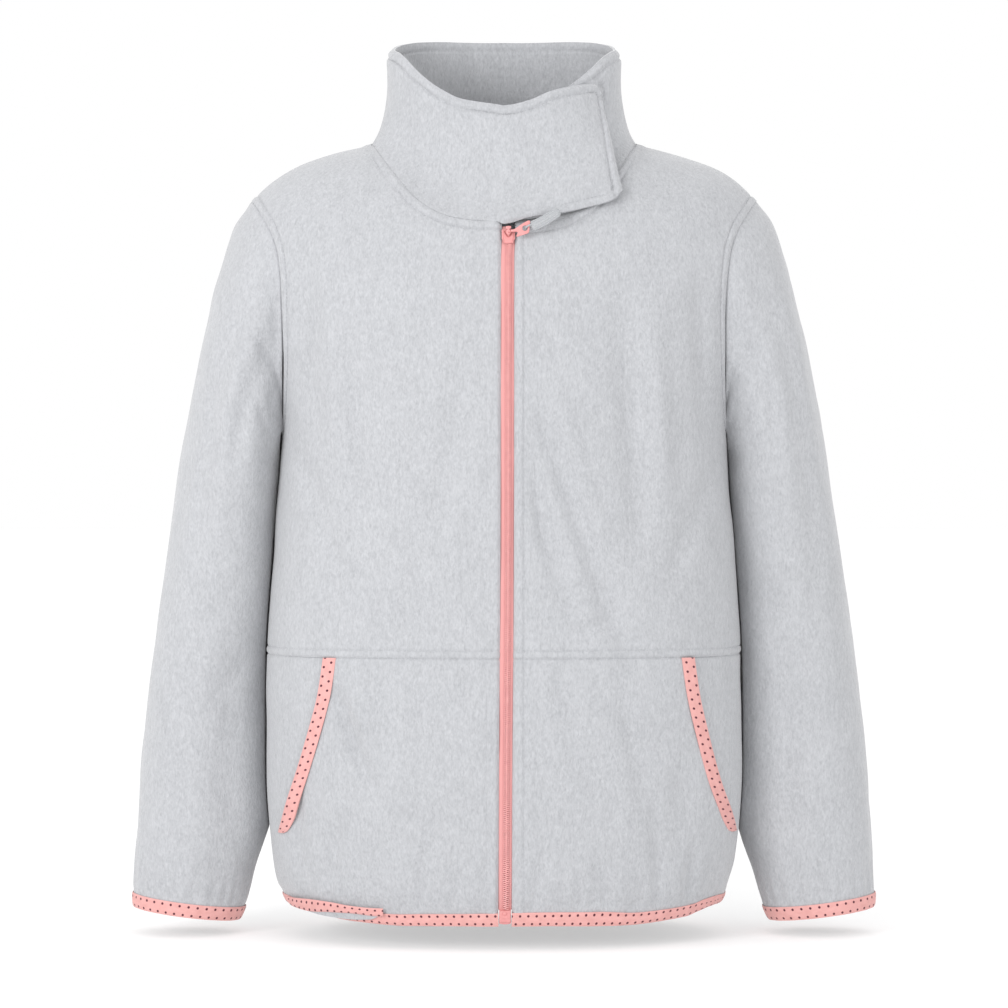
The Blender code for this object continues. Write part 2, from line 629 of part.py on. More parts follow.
def sleeve_folds(side, turn, row):
    """Soft troughs of a sleeve, as a depth. turn runs from the outside to the back."""
    table = (
        {"turn": -1.10, "rows": (1.2, 6.0), "spread": 0.26, "depth": 0.0040},
        {"turn": -1.75, "rows": (0.4, 4.0), "spread": 0.20, "depth": 0.0045},
        {"turn": 1.20, "rows": (1.0, 5.0), "spread": 0.28, "depth": 0.0040},
        {"turn": 1.95, "rows": (6.0, 9.5), "spread": 0.26, "depth": 0.0035},
        {"turn": -2.00, "rows": (7.0, 10.0), "spread": 0.24, "depth": 0.0025},
    )
    total = 0.0
    for fold in table:
        centre = fold["turn"] + 0.06 * side
        away = (turn - centre + math.pi) % (2 * math.pi) - math.pi
        first, last = fold["rows"]
        ends = ease(first - 0.8, first + 0.8, row) * (1 - ease(last - 0.8, last + 0.8, row))
        total += fold["depth"] * ends * math.exp(-(away / fold["spread"]) ** 2)
    return total


def armhole_point(turn):
    """Armhole edge of the wearer's left side. turn: 0 shoulder, positive to the back."""
    turn = (turn + math.pi) % (2 * math.pi) - math.pi
    z = armhole_height(abs(turn))
    face = "back" if turn > 0 else "front"
    x = read(ARMHOLE, "reach", z)
    depth = torso_depth(face, x, z)
    return np.array((x, depth if turn > 0 else -depth, z))


def sleeve_place(side, turn, row):
    """Outer surface of the left sleeve (side 1) or the right one (side -1)."""
    value = {key: read(SLEEVE, key, row, "row") for key in SLEEVE if key != "row"}
    outer = np.array((value["outer_x"], value["centre_y"], value["outer_z"]))
    inner = np.array((value["inner_x"], value["centre_y"], value["inner_z"]))
    half = (outer - inner) / 2
    depth = value["half_depth"] - sleeve_folds(side, turn, row) * abs(math.sin(turn))
    place = (outer + inner) / 2 + half * math.cos(turn)
    place = place + np.array((0.0, depth * math.sin(turn), 0.0))
    fade = 1.0 - ease(0.0, 3.5, row)
    if fade > 0.0:
        first = np.array((SLEEVE["outer_x"][0], SLEEVE["centre_y"][0], SLEEVE["outer_z"][0]))
        second = np.array((SLEEVE["inner_x"][0], SLEEVE["centre_y"][0], SLEEVE["inner_z"][0]))
        plain = (first + second) / 2 + (first - second) / 2 * math.cos(turn)
        plain = plain + np.array((0.0, SLEEVE["half_depth"][0] * math.sin(turn), 0.0))
        place = place + (armhole_point(turn) - plain) * fade
    place[0] += SEAM_GAP
    place[0] *= side
    return place


def sleeve_point(side, turn, row, out):
    last = len(SLEEVE["row"]) - 1
    step = 0.02
    before, after = max(row - step, 0.0), min(row + step, last)
    down = sleeve_place(side, turn, after) - sleeve_place(side, turn, before)
    round_about = sleeve_place(side, turn + step, row) - sleeve_place(side, turn - step, row)
    normal = np.cross(down, round_about) * side
    normal /= np.linalg.norm(normal)
    if row == 0:
        # Where the sleeve is sewn to the top of the armhole, its edge lies along the panel's.
        folded = abs((turn + math.pi) % (2 * math.pi) - math.pi)
        x, z = abs(armhole_point(turn)[0]), armhole_height(folded)
        panel = torso_normal("front" if math.sin(turn) < 0 else "back", x, z)
        panel[0] *= side
        normal = blend(panel, normal, ease(math.radians(60), math.radians(150), folded))
        normal /= np.linalg.norm(normal)
    return sleeve_place(side, turn, row) + out * normal


def sleeve(side, name):
    last = len(SLEEVE["row"]) - 1
    turns = [2 * math.pi * step / SLEEVE_TURN_STEPS for step in range(SLEEVE_TURN_STEPS)]
    outer, inner = [], []
    for step in range(SLEEVE_ROWS + 1):
        row = last * step / SLEEVE_ROWS
        outer.append([sleeve_point(side, turn, row, 0.0) for turn in turns])
        inner.append([sleeve_point(side, turn, row, -FLEECE) for turn in turns])
    cloth_wall(name, outer, inner, "fleece", ring=True)


def cuff_binding(side, name):
    last = len(SLEEVE["row"]) - 1
    steps = 32
    turns = [2 * math.pi * step / steps for step in range(steps)]
    start_outer = np.array((SLEEVE["outer_x"][last], 0.0, SLEEVE["outer_z"][last]))
    start_inner = np.array((SLEEVE["inner_x"][last], 0.0, SLEEVE["inner_z"][last]))
    end_outer = np.array((CUFF_OUTER[0], 0.0, CUFF_OUTER[1]))
    end_inner = np.array((CUFF_INNER[0], 0.0, CUFF_INNER[1]))
    outer, inner = [], []
    for down in (0.04, 0.5, 1.0):
        swell = CUFF_PROUD * (1.0 + math.sin(math.pi * down))
        high, low = blend(start_outer, end_outer, down), blend(start_inner, end_inner, down)
        depth = blend(SLEEVE["half_depth"][last], CUFF_HALF_DEPTH, down)
        outer_ring, inner_ring = [], []
        for turn in turns:
            for ring, out in ((outer_ring, swell), (inner_ring, -FLEECE - CUFF_PROUD)):
                reach = (high - low) / 2
                reach = reach * (1 + out / np.linalg.norm(reach))
                place = (high + low) / 2 + reach * math.cos(turn)
                place = place + np.array((SEAM_GAP, (depth + out) * math.sin(turn), 0.0))
                place[0] *= side
                ring.append(place)
        outer.append(outer_ring)
        inner.append(inner_ring)
    cloth_wall(name, outer, inner, "binding", ring=True)


# ---------------------------------------------------------------- collar
def collar_edges(angle):
    """Neck seam and top edge of the collar at an angle from the centre front, in degrees."""
    turn = math.radians(angle)
    side, front = math.sin(turn), math.cos(turn)
    quarter = math.degrees(math.asin(min(abs(side), 1.0))) / 90.0
    if front > 0:
        drop = NECK_DROP_LEFT if side > 0 else NECK_DROP_RIGHT
        x, z = neck_front(quarter, drop)
        face = "front"
    else:
        x, z = neck_back(quarter)
        face = "back"
    x = math.copysign(x, side)
    base = torso_point(face, x, z) + np.array((0.0, 0.0, SEAM_GAP))
    middle = (COLLAR_TOP_FRONT_Y + COLLAR_TOP_BACK_Y) / 2
    reach = (COLLAR_TOP_BACK_Y - COLLAR_TOP_FRONT_Y) / 2
    if front > 0:
        top_z = blend(COLLAR_TOP_FRONT_Z, COLLAR_TOP_SIDE_Z, abs(side) ** 2.2)
    else:
        top_z = blend(COLLAR_TOP_SIDE_Z, COLLAR_TOP_BACK_Z, math.sin(front * math.pi / 2) ** 2)
    top = np.array((COLLAR_TOP_HALF_WIDTH * side, middle - reach * front, top_z))
    return base, top


def collar_ring_point(angle, up):
    """Outer surface of the collar, without the flap."""
    base, top = collar_edges(angle)
    mix = (1.0 - up) ** COLLAR_FLARE
    place = blend(top, base, mix)
    place[2] = blend(base[2], top[2], up)
    place[1] -= FLAP["lift"][0] * mix * ease(FLAP_START - 14.0, FLAP_START, angle)
    if angle < 90.0:
        inset = UNDER_INSET * (1.0 - ease(18.0, 75.0, angle)) * ease(0.0, 0.35, up)
        middle = np.array((0.0, (COLLAR_TOP_FRONT_Y + COLLAR_TOP_BACK_Y) / 2, place[2]))
        inward = middle - place
        place = place + inward / np.linalg.norm(inward) * inset
    return place


def flap_point(along, up):
    """Outer surface of the free flap, from the centre front (0) to its end (1)."""
    row = {key: read(FLAP, key, along, "along") for key in FLAP if key != "along"}
    foot = torso_point("front", row["bottom_x"], row["bottom_z"], row["lift"])
    angle = math.degrees(math.asin(row["top_x"] / COLLAR_TOP_HALF_WIDTH))
    head = collar_edges(angle)[1]
    head[0] = row["top_x"]
    head[1] -= row["lift"] * 0.35 * ease(0.0, 0.3, along)
    head[2] = row["top_z"]
    flare = blend(COLLAR_FLARE, 1.25, ease(0.0, 0.8, along))
    # Over the zip the flap hangs straight down in front of the panels for a short way.
    straight = FLAP_STRAIGHT * ease(0.0, 0.05, along) * (1.0 - ease(0.10, 0.30, along))
    mix = (1.0 - max(up - straight, 0.0) / (1.0 - straight)) ** flare
    place = blend(head, foot, mix)
    place[0] = blend(foot[0], head[0], up)
    place[2] = blend(foot[2], head[2], up)
    return place


def collar_place(angle, up):
    if angle <= FLAP_START:
        return collar_ring_point(angle, up)
    return flap_point(min((angle - FLAP_START) / FLAP_LENGTH_IN_DEGREES, 1.0), up)


def collar_point(angle, up, out):
    step = 0.5
    low, high = max(up - 0.02, 0.0), min(up + 0.02, 1.0)
    before = max(angle - step, COLLAR_START)
    after = min(angle + step, FLAP_START + FLAP_LENGTH_IN_DEGREES)
    upward = collar_place(angle, high) - collar_place(angle, low)
    onward = collar_place(after, up) - collar_place(before, up)
    normal = np.cross(onward, upward)
    if up == 0.0:
        # The lower edge is cut level, square to the seam, clear of the panels it is sewn to.
        normal = np.array((onward[1], -onward[0], 0.0))
    normal /= np.linalg.norm(normal)
    return collar_place(angle, up) + out * normal


def collar(name):
    quarter = [90.0 * part for part in NECK_PARTS]
    backward = [180.0 - angle for angle in reversed(quarter)]
    half = quarter + backward[1:]
    angles = [COLLAR_START] + half[1:] + [360.0 - angle for angle in reversed(half)][1:-1]
    angles += [FLAP_START + FLAP_LENGTH_IN_DEGREES * part
               for part in (0.0, 0.05, 0.10, 0.20, 0.32, 0.48, 0.64, 0.80, 0.93, 1.0)]
    levels = (0.0, 0.07, 0.16, 0.28, 0.45, 0.65, 0.82, 0.94, 0.98, 1.0)
    rolled = [COLLAR_ROLL * ease(0.90, 1.0, up) for up in levels]
    outer = [[collar_point(angle, up, -roll) for angle in angles]
             for up, roll in zip(levels, rolled)]
    inner = [[collar_point(angle, up, 0.4 * roll - COLLAR_WALL) for angle in angles]
             for up, roll in zip(levels, rolled)]
    cloth_wall(name, outer, inner, "fleece")


# ---------------------------------------------------------------- zip
def zip_strip(name, start, end, outside, thickness, top, bottom):
    """Long strip down the centre front between two distances from the zip's middle."""
    rows = 20
    grid = []
    for j in range(rows + 1):
        z = blend(top, bottom, j / rows)
        grid.append([(zip_x(z) + start, z), (zip_x(z) + end, z)])
    torso_wall(name, "front", grid, "zip", outside, thickness)


def zip_parts():
    edge = COIL_HALF_WIDTH + SEAM_GAP
    tape_out = -FLEECE - 2 * SEAM_GAP
    foot = HEM_FRONT_Z + ZIP_BOX_HALF_HEIGHT - ZIP_BOX_DROP + SEAM_GAP
    zip_strip("zip_tape_left", edge, edge + ZIP_TAPE_WIDTH, tape_out, ZIP_TAPE_THICKNESS,
              ZIP_TOP_Z, foot)
    zip_strip("zip_tape_right", -edge - ZIP_TAPE_WIDTH, -edge, tape_out, ZIP_TAPE_THICKNESS,
              ZIP_TAPE_TOP_RIGHT_Z, foot)
    zip_strip("zip_coil", -COIL_HALF_WIDTH, COIL_HALF_WIDTH, COIL_SET_BACK, COIL_THICKNESS,
              ZIP_TAPE_TOP_RIGHT_Z, foot)
    zip_slider("zip_slider")
    zip_box("zip_box")
    zip_pull("zip_pull_hinge")


def fresh_mesh(name, work):
    mesh = bpy.data.meshes.new(name)
    work.to_mesh(mesh)
    work.free()
    return mesh


def box_mesh(name, low, high):
    """Box between two corners."""
    work = bmesh.new()
    bmesh.ops.create_cube(work, size=1.0)
    for vertex in work.verts:
        for axis in range(3):
            vertex.co[axis] = blend(low[axis], high[axis], vertex.co[axis] + 0.5)
    return fresh_mesh(name, work)


def rod_mesh(name, radius, height, sides=20):
    """Upright round rod about the origin."""
    work = bmesh.new()
    bmesh.ops.create_cone(work, cap_ends=True, segments=sides, radius1=radius, radius2=radius,
                          depth=height)
    return fresh_mesh(name, work)


def plate_mesh(name, outline, thickness):
    """Flat plate of a given outline in x and z, centred on y, made from a filled curve."""
    curve = bpy.data.curves.new(name, "CURVE")
    curve.dimensions = "2D"
    curve.fill_mode = "BOTH"
    curve.extrude = thickness / 2
    line = curve.splines.new("POLY")
    line.points.add(len(outline) - 1)
    for point, (x, z) in zip(line.points, outline):
        point.co = (x, z, 0.0, 1.0)
    line.use_cyclic_u = True
    holder = bpy.data.objects.new(name, curve)
    bpy.context.scene.collection.objects.link(holder)
    holder.rotation_euler = (math.pi / 2, 0.0, 0.0)
    bpy.context.view_layer.update()
    graph = bpy.context.evaluated_depsgraph_get()
    mesh = bpy.data.meshes.new_from_object(holder.evaluated_get(graph))
    mesh.transform(holder.matrix_world)
    bpy.data.objects.remove(holder)
    work = bmesh.new()
    work.from_mesh(mesh)
    bmesh.ops.remove_doubles(work, verts=work.verts, dist=0.00001)
    bmesh.ops.recalc_face_normals(work, faces=work.faces)
    return fresh_mesh(name, work)


def tube_mesh(name, route, radius):
    """Round cord along a route of points, with closed ends."""
    curve = bpy.data.curves.new(name, "CURVE")
    curve.dimensions = "3D"
    curve.bevel_depth = radius
    curve.bevel_resolution = 2
    curve.use_fill_caps = True
    line = curve.splines.new("POLY")
    line.points.add(len(route) - 1)
    for point, place in zip(line.points, route):
        point.co = (*place, 1.0)
    holder = bpy.data.objects.new(name, curve)
    bpy.context.scene.collection.objects.link(holder)
    bpy.context.view_layer.update()
    graph = bpy.context.evaluated_depsgraph_get()
    mesh = bpy.data.meshes.new_from_object(holder.evaluated_get(graph))
    bpy.data.objects.remove(holder)
    work = bmesh.new()
    work.from_mesh(mesh)
    bmesh.ops.remove_doubles(work, verts=work.verts, dist=0.00001)
    bmesh.ops.recalc_face_normals(work, faces=work.faces)
    return fresh_mesh(name, work)


def join_solid(piece, mesh, operation="UNION"):
    """Boolean of a piece with a mesh that lies in the same local frame."""
    tool = bpy.data.objects.new(f"{piece.name}_{operation.lower()}_{len(CUTTERS.objects)}", mesh)
    CUTTERS.objects.link(tool)
    tool.parent = piece.parent
    tool.location = piece.location
    tool.rotation_euler = piece.rotation_euler
    tool.hide_render = True
    tool.display_type = "WIRE"
    change = piece.modifiers.new(operation.title(), "BOOLEAN")
    change.operation = operation
    change.object = tool


def slider_frame():
    """Middle of the slider on the front's surface, and how far the zip leans back there."""
    place = torso_point("front", zip_x(SLIDER_Z), SLIDER_Z)
    normal = torso_normal("front", zip_x(SLIDER_Z), SLIDER_Z)
    return place, math.atan2(normal[2], -normal[1])


def zip_slider(name):
    """Slider body on the coil, with a keel between the tapes and a bridge for the tab."""
    place, lean = slider_frame()
    wide, high, foot = SLIDER_HALF_WIDTH, SLIDER_HALF_HEIGHT, SLIDER_FOOT_HALF_WIDTH
    outline = [(-foot, -high), (foot, -high), (wide, SLIDER_WAIST_Z), (wide, high),
               (-wide, high), (-wide, SLIDER_WAIST_Z)]
    plate = plate_mesh(name, outline, SLIDER_PLATE)
    plate.transform(Matrix.Translation((0.0, SLIDER_FRONT_Y + SLIDER_PLATE / 2, 0.0)))
    plate.transform(Matrix.Rotation(-lean, 4, "X"))
    piece = make_object(name, plate, "zip")
    piece.location = place
    keel = box_mesh("keel", (-KEEL_HALF_WIDTH, SLIDER_FRONT_Y + 0.0010, -KEEL_HALF_HEIGHT),
                    (KEEL_HALF_WIDTH, KEEL_BACK_Y, KEEL_HALF_HEIGHT))
    keel.transform(Matrix.Rotation(-lean, 4, "X"))
    join_solid(piece, keel)
    bar = rod_mesh("bar", BAR_RADIUS, 2 * BRIDGE_HALF_HEIGHT)
    bar.transform(Matrix.Translation((0.0, BAR_Y, 0.0)))
    join_solid(piece, bar)
    for end in (-1, 1):
        low = end * (EYE_HALF_HEIGHT + EYE_CLEARANCE)
        high = end * BRIDGE_HALF_HEIGHT
        # The zip leans back, so the plate is nearer at the upper post than at the lower one.
        plate_y = -0.0012 + 0.0008 * end
        post = box_mesh("post", (-POST_HALF_WIDTH, BAR_Y - POST_HALF_WIDTH, min(low, high)),
                        (POST_HALF_WIDTH, plate_y, max(low, high)))
        join_solid(piece, post)


def zip_pull(empty_name):
    """Flared tab that turns on the slider's bridge, and the grey strap looped through it."""
    place, _ = slider_frame()
    hinge = bpy.data.objects.new(empty_name, None)
    PARTS.objects.link(hinge)
    hinge.location = place + np.array((0.0, BAR_Y, 0.0))
    hinge.rotation_euler = (0.0, 0.0, PULL_LEAN)
    tab = make_object("zip_pull_tab", plate_mesh("zip_pull_tab", TAB_OUTLINE, TAB_THICKNESS), "zip")
    tab.parent = hinge
    eye = rod_mesh("eye", EYE_RADIUS, 2 * EYE_HALF_HEIGHT)
    join_solid(tab, eye)
    bore = rod_mesh("bore", BAR_RADIUS + EYE_CLEARANCE, 4 * EYE_HALF_HEIGHT)
    join_solid(tab, bore, "DIFFERENCE")
    slot = box_mesh("slot", TAB_SLOT_LOW, TAB_SLOT_HIGH)
    join_solid(tab, slot, "DIFFERENCE")
    strap = plate_mesh("zip_puller", strap_outline(), STRAP_THICKNESS)
    puller = make_object("zip_puller", strap, "puller")
    puller.parent = hinge
    soften = puller.modifiers.new("Rounded edges", "BEVEL")
    soften.width = STRAP_EDGE_RADIUS
    soften.segments = 2
    root = (STRAP_START[0] + LOOP_ROOT_INSET[0], STRAP_START[1] + LOOP_ROOT_INSET[1])
    route = []
    for step in range(-7, 8):
        part = step / 7.0
        reach = 1.0 - part * part
        route.append((blend(root[0], LOOP_MIDDLE[0], reach),
                      -part * (LOOP_CLEARANCE + LOOP_SWELL * reach),
                      blend(root[1], LOOP_MIDDLE[1], reach)))
    join_solid(puller, tube_mesh("loop", route, LOOP_RADIUS))


def strap_outline():
    """Long strap with round ends, bent up a little, in x and z."""
    length = math.hypot(STRAP_END[0] - STRAP_START[0], STRAP_END[1] - STRAP_START[1])
    slope = math.atan2(STRAP_END[1] - STRAP_START[1], STRAP_END[0] - STRAP_START[0])
    half = STRAP_WIDTH / 2
    points = []
    for centre, first in ((0.0, math.pi / 2), (length, -math.pi / 2)):
        for step in range(9):
            turn = first + math.pi * step / 8
            along = centre + half * 0.8 * math.cos(turn)
            across = half * math.sin(turn)
            points.append((STRAP_START[0] + along * math.cos(slope) - across * math.sin(slope),
                           STRAP_START[1] + along * math.sin(slope) + across * math.cos(slope)))
    return points


def zip_box(name):
    """Retainer box at the foot of the zip, over the coil's end and between the bindings."""
    z = HEM_FRONT_Z - ZIP_BOX_DROP
    place = torso_point("front", zip_x(z), z)
    mesh = box_mesh(name, (-ZIP_BOX_HALF_WIDTH, ZIP_BOX_FRONT_Y, -ZIP_BOX_HALF_HEIGHT),
                    (ZIP_BOX_HALF_WIDTH, ZIP_BOX_BACK_Y, ZIP_BOX_HALF_HEIGHT))
    piece = make_object(name, mesh, "zip")
    piece.location = place
    bevel = piece.modifiers.new("Rounded edges", "BEVEL")
    bevel.width = ZIP_BOX_EDGE_RADIUS
    bevel.segments = 2


# ---------------------------------------------------------------- build
for old in list(bpy.data.objects):
    bpy.data.objects.remove(old)
PARTS = bpy.data.collections.new("fleece_zip_jacket")
bpy.context.scene.collection.children.link(PARTS)
CUTTERS = bpy.data.collections.new("joined_shapes_and_cutters")
bpy.context.scene.collection.children.link(CUTTERS)

for wearer_side, word in ((-1, "right"), (1, "left")):
    front_upper(wearer_side, "front_upper_" + word)
    front_lower(wearer_side, "front_lower_" + word)
    pocket_side(wearer_side, "pocket_side_" + word)
    pocket_binding(wearer_side, "pocket_binding_" + word)
    sleeve(wearer_side, "sleeve_" + word)
    cuff_binding(wearer_side, "cuff_binding_" + word)
back_panel("back")
hem_binding("hem_binding")
hem_binding_lap("hem_binding_lap")
collar("collar")
zip_parts()
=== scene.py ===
# %% [markdown]
# # A fleece jacket with a lapped collar and a zip
#
# This lesson dresses a ready-made hollow model of a jacket. The model gives the size and
# place of every part; here each cloth part is cut again from the same curves with a fine
# mesh, so that seams, stitching, folds and trim can be shaped.
# We could have thickened and subdivided the plain parts. Cutting them again is better,
# because rows of points can then be placed close together exactly where a seam runs.

# %% Load the fixed frame
import json
import math

import bmesh
import bpy
import numpy as np
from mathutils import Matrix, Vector


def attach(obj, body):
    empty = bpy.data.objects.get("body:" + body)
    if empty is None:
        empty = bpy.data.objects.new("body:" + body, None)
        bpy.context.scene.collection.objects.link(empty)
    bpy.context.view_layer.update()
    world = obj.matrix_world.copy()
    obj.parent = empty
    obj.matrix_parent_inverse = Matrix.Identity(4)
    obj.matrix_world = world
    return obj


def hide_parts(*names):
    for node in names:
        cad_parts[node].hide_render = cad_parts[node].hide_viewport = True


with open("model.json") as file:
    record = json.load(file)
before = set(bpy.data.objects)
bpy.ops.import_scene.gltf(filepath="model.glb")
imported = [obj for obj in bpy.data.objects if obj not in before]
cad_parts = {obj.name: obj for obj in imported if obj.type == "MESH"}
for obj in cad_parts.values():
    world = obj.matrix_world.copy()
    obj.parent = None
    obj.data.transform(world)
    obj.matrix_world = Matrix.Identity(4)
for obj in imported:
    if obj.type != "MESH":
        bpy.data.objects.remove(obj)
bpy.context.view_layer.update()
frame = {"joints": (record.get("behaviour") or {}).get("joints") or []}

# %% [markdown]
# ## Curves of the pattern
#
# A jacket pattern is a set of a few measured sizes joined by smooth lines. Each table below
# names a size at several heights, and `along` reads a smooth value between them. A spline
# object could do this too, but a function can be asked for thousands of points at once.

# %% Sizes and tables of the pattern
FLEECE = 0.0022              # one layer of fleece
SEAM_GAP = 0.00006           # air left at a sewn seam once it is pressed
TAPE = 0.0009                # thickness of bias binding
NECK_HALF_WIDTH = 0.108
NECK_DROP = {-1: 0.0712, 1: 0.0745}
NECK_DROP_BACK = 0.018
SHOULDER_X, SHOULDER_DROP = 0.2065, 0.046
UNDERARM_Z, YOKE_Z = -0.235, -0.415
SQUARENESS = 2.4             # 2 is an ellipse, more is squarer
BODY = {
    "height":      (-0.640, -0.6250, -0.6105, -0.6000, -0.5800, -0.5460, -0.5150, -0.4700,
                    -0.4200, -0.3310, -0.2350, -0.1500, -0.0460, 0.0500),
    "half_width":  (0.1640, 0.1730, 0.1800, 0.1845, 0.1890, 0.1925, 0.1943, 0.1945,
                    0.1938, 0.1880, 0.1815, 0.1960, 0.2250, 0.2400),
    "front_depth": (0.0990, 0.1045, 0.1085, 0.1115, 0.1140, 0.1160, 0.1170, 0.1175,
                    0.1175, 0.1170, 0.1155, 0.1150, 0.1150, 0.1150),
    "back_depth":  (0.0890, 0.0940, 0.0980, 0.1005, 0.1030, 0.1050, 0.1060, 0.1065,
                    0.1065, 0.1060, 0.1050, 0.1040, 0.1020, 0.1020),
}
ARMHOLE = {
    "height": (-0.2350, -0.2250, -0.2000, -0.1600, -0.1200, -0.0950, -0.0750, -0.0600, -0.0460),
    "reach":  (0.1815, 0.1795, 0.1785, 0.1780, 0.1785, 0.1812, 0.1875, 0.1965, 0.2065),
}
NECK_CURVE = {
    "out":  (0.0, 0.020, 0.040, 0.055, 0.070, 0.085, 0.097, 0.108),
    "drop": (1.0, 0.990, 0.950, 0.871, 0.721, 0.471, 0.236, 0.0),
}


# %% Smooth values between a table's rows
def along(table, column, at, key="height"):
    """Smooth values of a table's column between its rows."""
    places, values = np.array(table[key]), np.array(table[column])
    chord = np.diff(values) / np.diff(places)
    slope = np.concatenate((chord[:1], np.zeros(len(chord) - 1), chord[-1:]))
    before, after = chord[:-1], chord[1:]
    bends = before * after > 0.0
    slope[1:-1][bends] = 2 * before[bends] * after[bends] / (before[bends] + after[bends])
    at = np.clip(np.asarray(at, float), places[0], places[-1])
    row = np.clip(np.searchsorted(places, at) - 1, 0, len(places) - 2)
    span = places[row + 1] - places[row]
    part = (at - places[row]) / span
    square, cube = part ** 2, part ** 3
    return ((2 * cube - 3 * square + 1) * values[row]
            + (cube - 2 * square + part) * slope[row] * span
            + (3 * square - 2 * cube) * values[row + 1]
            + (cube - square) * slope[row + 1] * span)


def ease(low, high, at):
    """0 below low, 1 above high, with a soft start and end."""
    part = np.clip((np.asarray(at, float) - low) / (high - low), 0.0, 1.0)
    return part * part * (3.0 - 2.0 * part)


def mix(first, second, part):
    return first + (second - first) * part


print("chest, side to side:", 2 * float(along(BODY, "half_width", UNDERARM_Z)))

# %% [markdown]
# ## The body's surface
#
# Worn fleece stands away from the wearer in a soft, slightly square tube. A formula with a
# depth for every place in the front view gives that form, and its slope gives the direction
# in which the cloth may be pushed out or in. A sculpted mesh could be used instead, but then
# nothing would fit its neighbour to a tenth of a millimetre.

# %% Body surface: depth, direction and folds
CHEST = {"front": -0.190, "back": -0.160}
RIDGE_SOFTNESS = 0.040
FRONT_FOLDS = (
    {"x": (0.028, 0.093), "z": (-0.216, -0.395), "half_width": 0.012, "depth": 0.0030},
    {"x": (0.026, 0.048), "z": (-0.296, -0.385), "half_width": 0.010, "depth": 0.0022},
    {"x": (0.091, 0.106), "z": (-0.133, -0.278), "half_width": 0.015, "depth": 0.0034},
    {"x": (0.143, 0.133), "z": (-0.497, -0.569), "half_width": 0.012, "depth": 0.0034},
    {"x": (-0.161, -0.148), "z": (-0.080, -0.234), "half_width": 0.012, "depth": 0.0040},
    {"x": (-0.125, -0.115), "z": (-0.458, -0.490), "half_width": 0.010, "depth": 0.0024},
    {"x": (-0.153, -0.153), "z": (-0.508, -0.557), "half_width": 0.011, "depth": 0.0030},
)
BACK_FOLDS = (
    {"x": (0.155, 0.143), "z": (-0.110, -0.250), "half_width": 0.013, "depth": 0.0040},
    {"x": (-0.152, -0.141), "z": (-0.115, -0.240), "half_width": 0.013, "depth": 0.0040},
    {"x": (-0.060, -0.020), "z": (-0.330, -0.395), "half_width": 0.014, "depth": 0.0030},
    {"x": (0.030, 0.074), "z": (-0.360, -0.420), "half_width": 0.013, "depth": 0.0028},
    {"x": (0.090, 0.098), "z": (-0.470, -0.575), "half_width": 0.014, "depth": 0.0032},
    {"x": (-0.105, -0.110), "z": (-0.480, -0.580), "half_width": 0.014, "depth": 0.0030},
)


def shoulder_line(x):
    """Height of the shoulder seam at a distance x from the centre."""
    high = math.hypot(NECK_HALF_WIDTH, RIDGE_SOFTNESS)
    out = math.hypot(SHOULDER_X, RIDGE_SOFTNESS)
    part = (np.hypot(x, RIDGE_SOFTNESS) - high) / (out - high)
    return -SHOULDER_DROP * (0.52 * part + 0.48 * np.maximum(part, 0.0) ** 4)


def fold_sum(folds, x, z):
    """Depth of all the soft troughs at a place; a negative depth makes a ridge."""
    total = np.zeros(np.broadcast(x, z).shape)
    for fold in folds:
        run_x, run_z = fold["x"][1] - fold["x"][0], fold["z"][1] - fold["z"][0]
        here_x, here_z = x - fold["x"][0], z - fold["z"][0]
        part = (here_x * run_x + here_z * run_z) / (run_x ** 2 + run_z ** 2)
        away = (here_x * run_z - here_z * run_x) / math.hypot(run_x, run_z)
        ends = ease(-0.25, 0.3, part) * (1.0 - ease(0.7, 1.25, part))
        total = total + fold["depth"] * ends * np.exp(-(away / fold["half_width"]) ** 2)
    return total


print(len(FRONT_FOLDS) + len(BACK_FOLDS), "large folds")

# %% Depth and direction of the body's surface
def body_form(face, x, y, z):
    full = along(BODY, face + "_depth", z)
    across = 1.0 - (np.abs(x) / along(BODY, "half_width", z)) ** SQUARENESS
    chest = CHEST[face]
    rise = np.maximum(0.0, (z - chest) / (shoulder_line(x) - chest))
    upward = 1.0 - rise ** SQUARENESS
    if y is None:
        return full * (np.maximum(across, 0) * np.maximum(upward, 0)) ** (1 / SQUARENESS)
    return (np.abs(y) / full) ** SQUARENESS - across * upward


def body_direction(face, x, z):
    """Outward direction of the plain body."""
    depth, step = body_form(face, x, None, z), 0.0004
    slope = np.stack((
        body_form(face, x + step, depth, z) - body_form(face, x - step, depth, z),
        body_form(face, x, depth + step, z)
        - body_form(face, x, np.maximum(depth - step, 0.0), z),
        body_form(face, x, depth, z + step) - body_form(face, x, depth, z - step)), axis=-1)
    slope[..., 1][depth < step] = 0.0
    slope /= np.linalg.norm(slope, axis=-1, keepdims=True)
    if face == "front":
        slope[..., 1] *= -1
    return slope


def body_point(face, x, z, out=0.0):
    """Points of the front or the back, moved out along the surface's direction."""
    x, z = np.broadcast_arrays(np.asarray(x, float), np.asarray(z, float))
    depth = body_form(face, x, None, z)
    folds = FRONT_FOLDS if face == "front" else BACK_FOLDS
    depth = depth - fold_sum(folds, x, z) * ease(0.010, 0.045, depth) + SEAM_GAP / 2
    place = np.stack((x, -depth if face == "front" else depth, z), axis=-1)
    out = np.broadcast_to(out, x.shape)
    return place + out[..., None] * body_direction(face, x, z)


print("front stands", round(-float(body_point("front", 0.0, -0.3)[1]), 4), "m from the centre")

# %% [markdown]
# ## Cutting lines
#
# The zip hangs a little off the centre, the neck is scooped, the hem rises towards the
# sides. These lines are shared by every panel that meets there, as on a paper pattern.

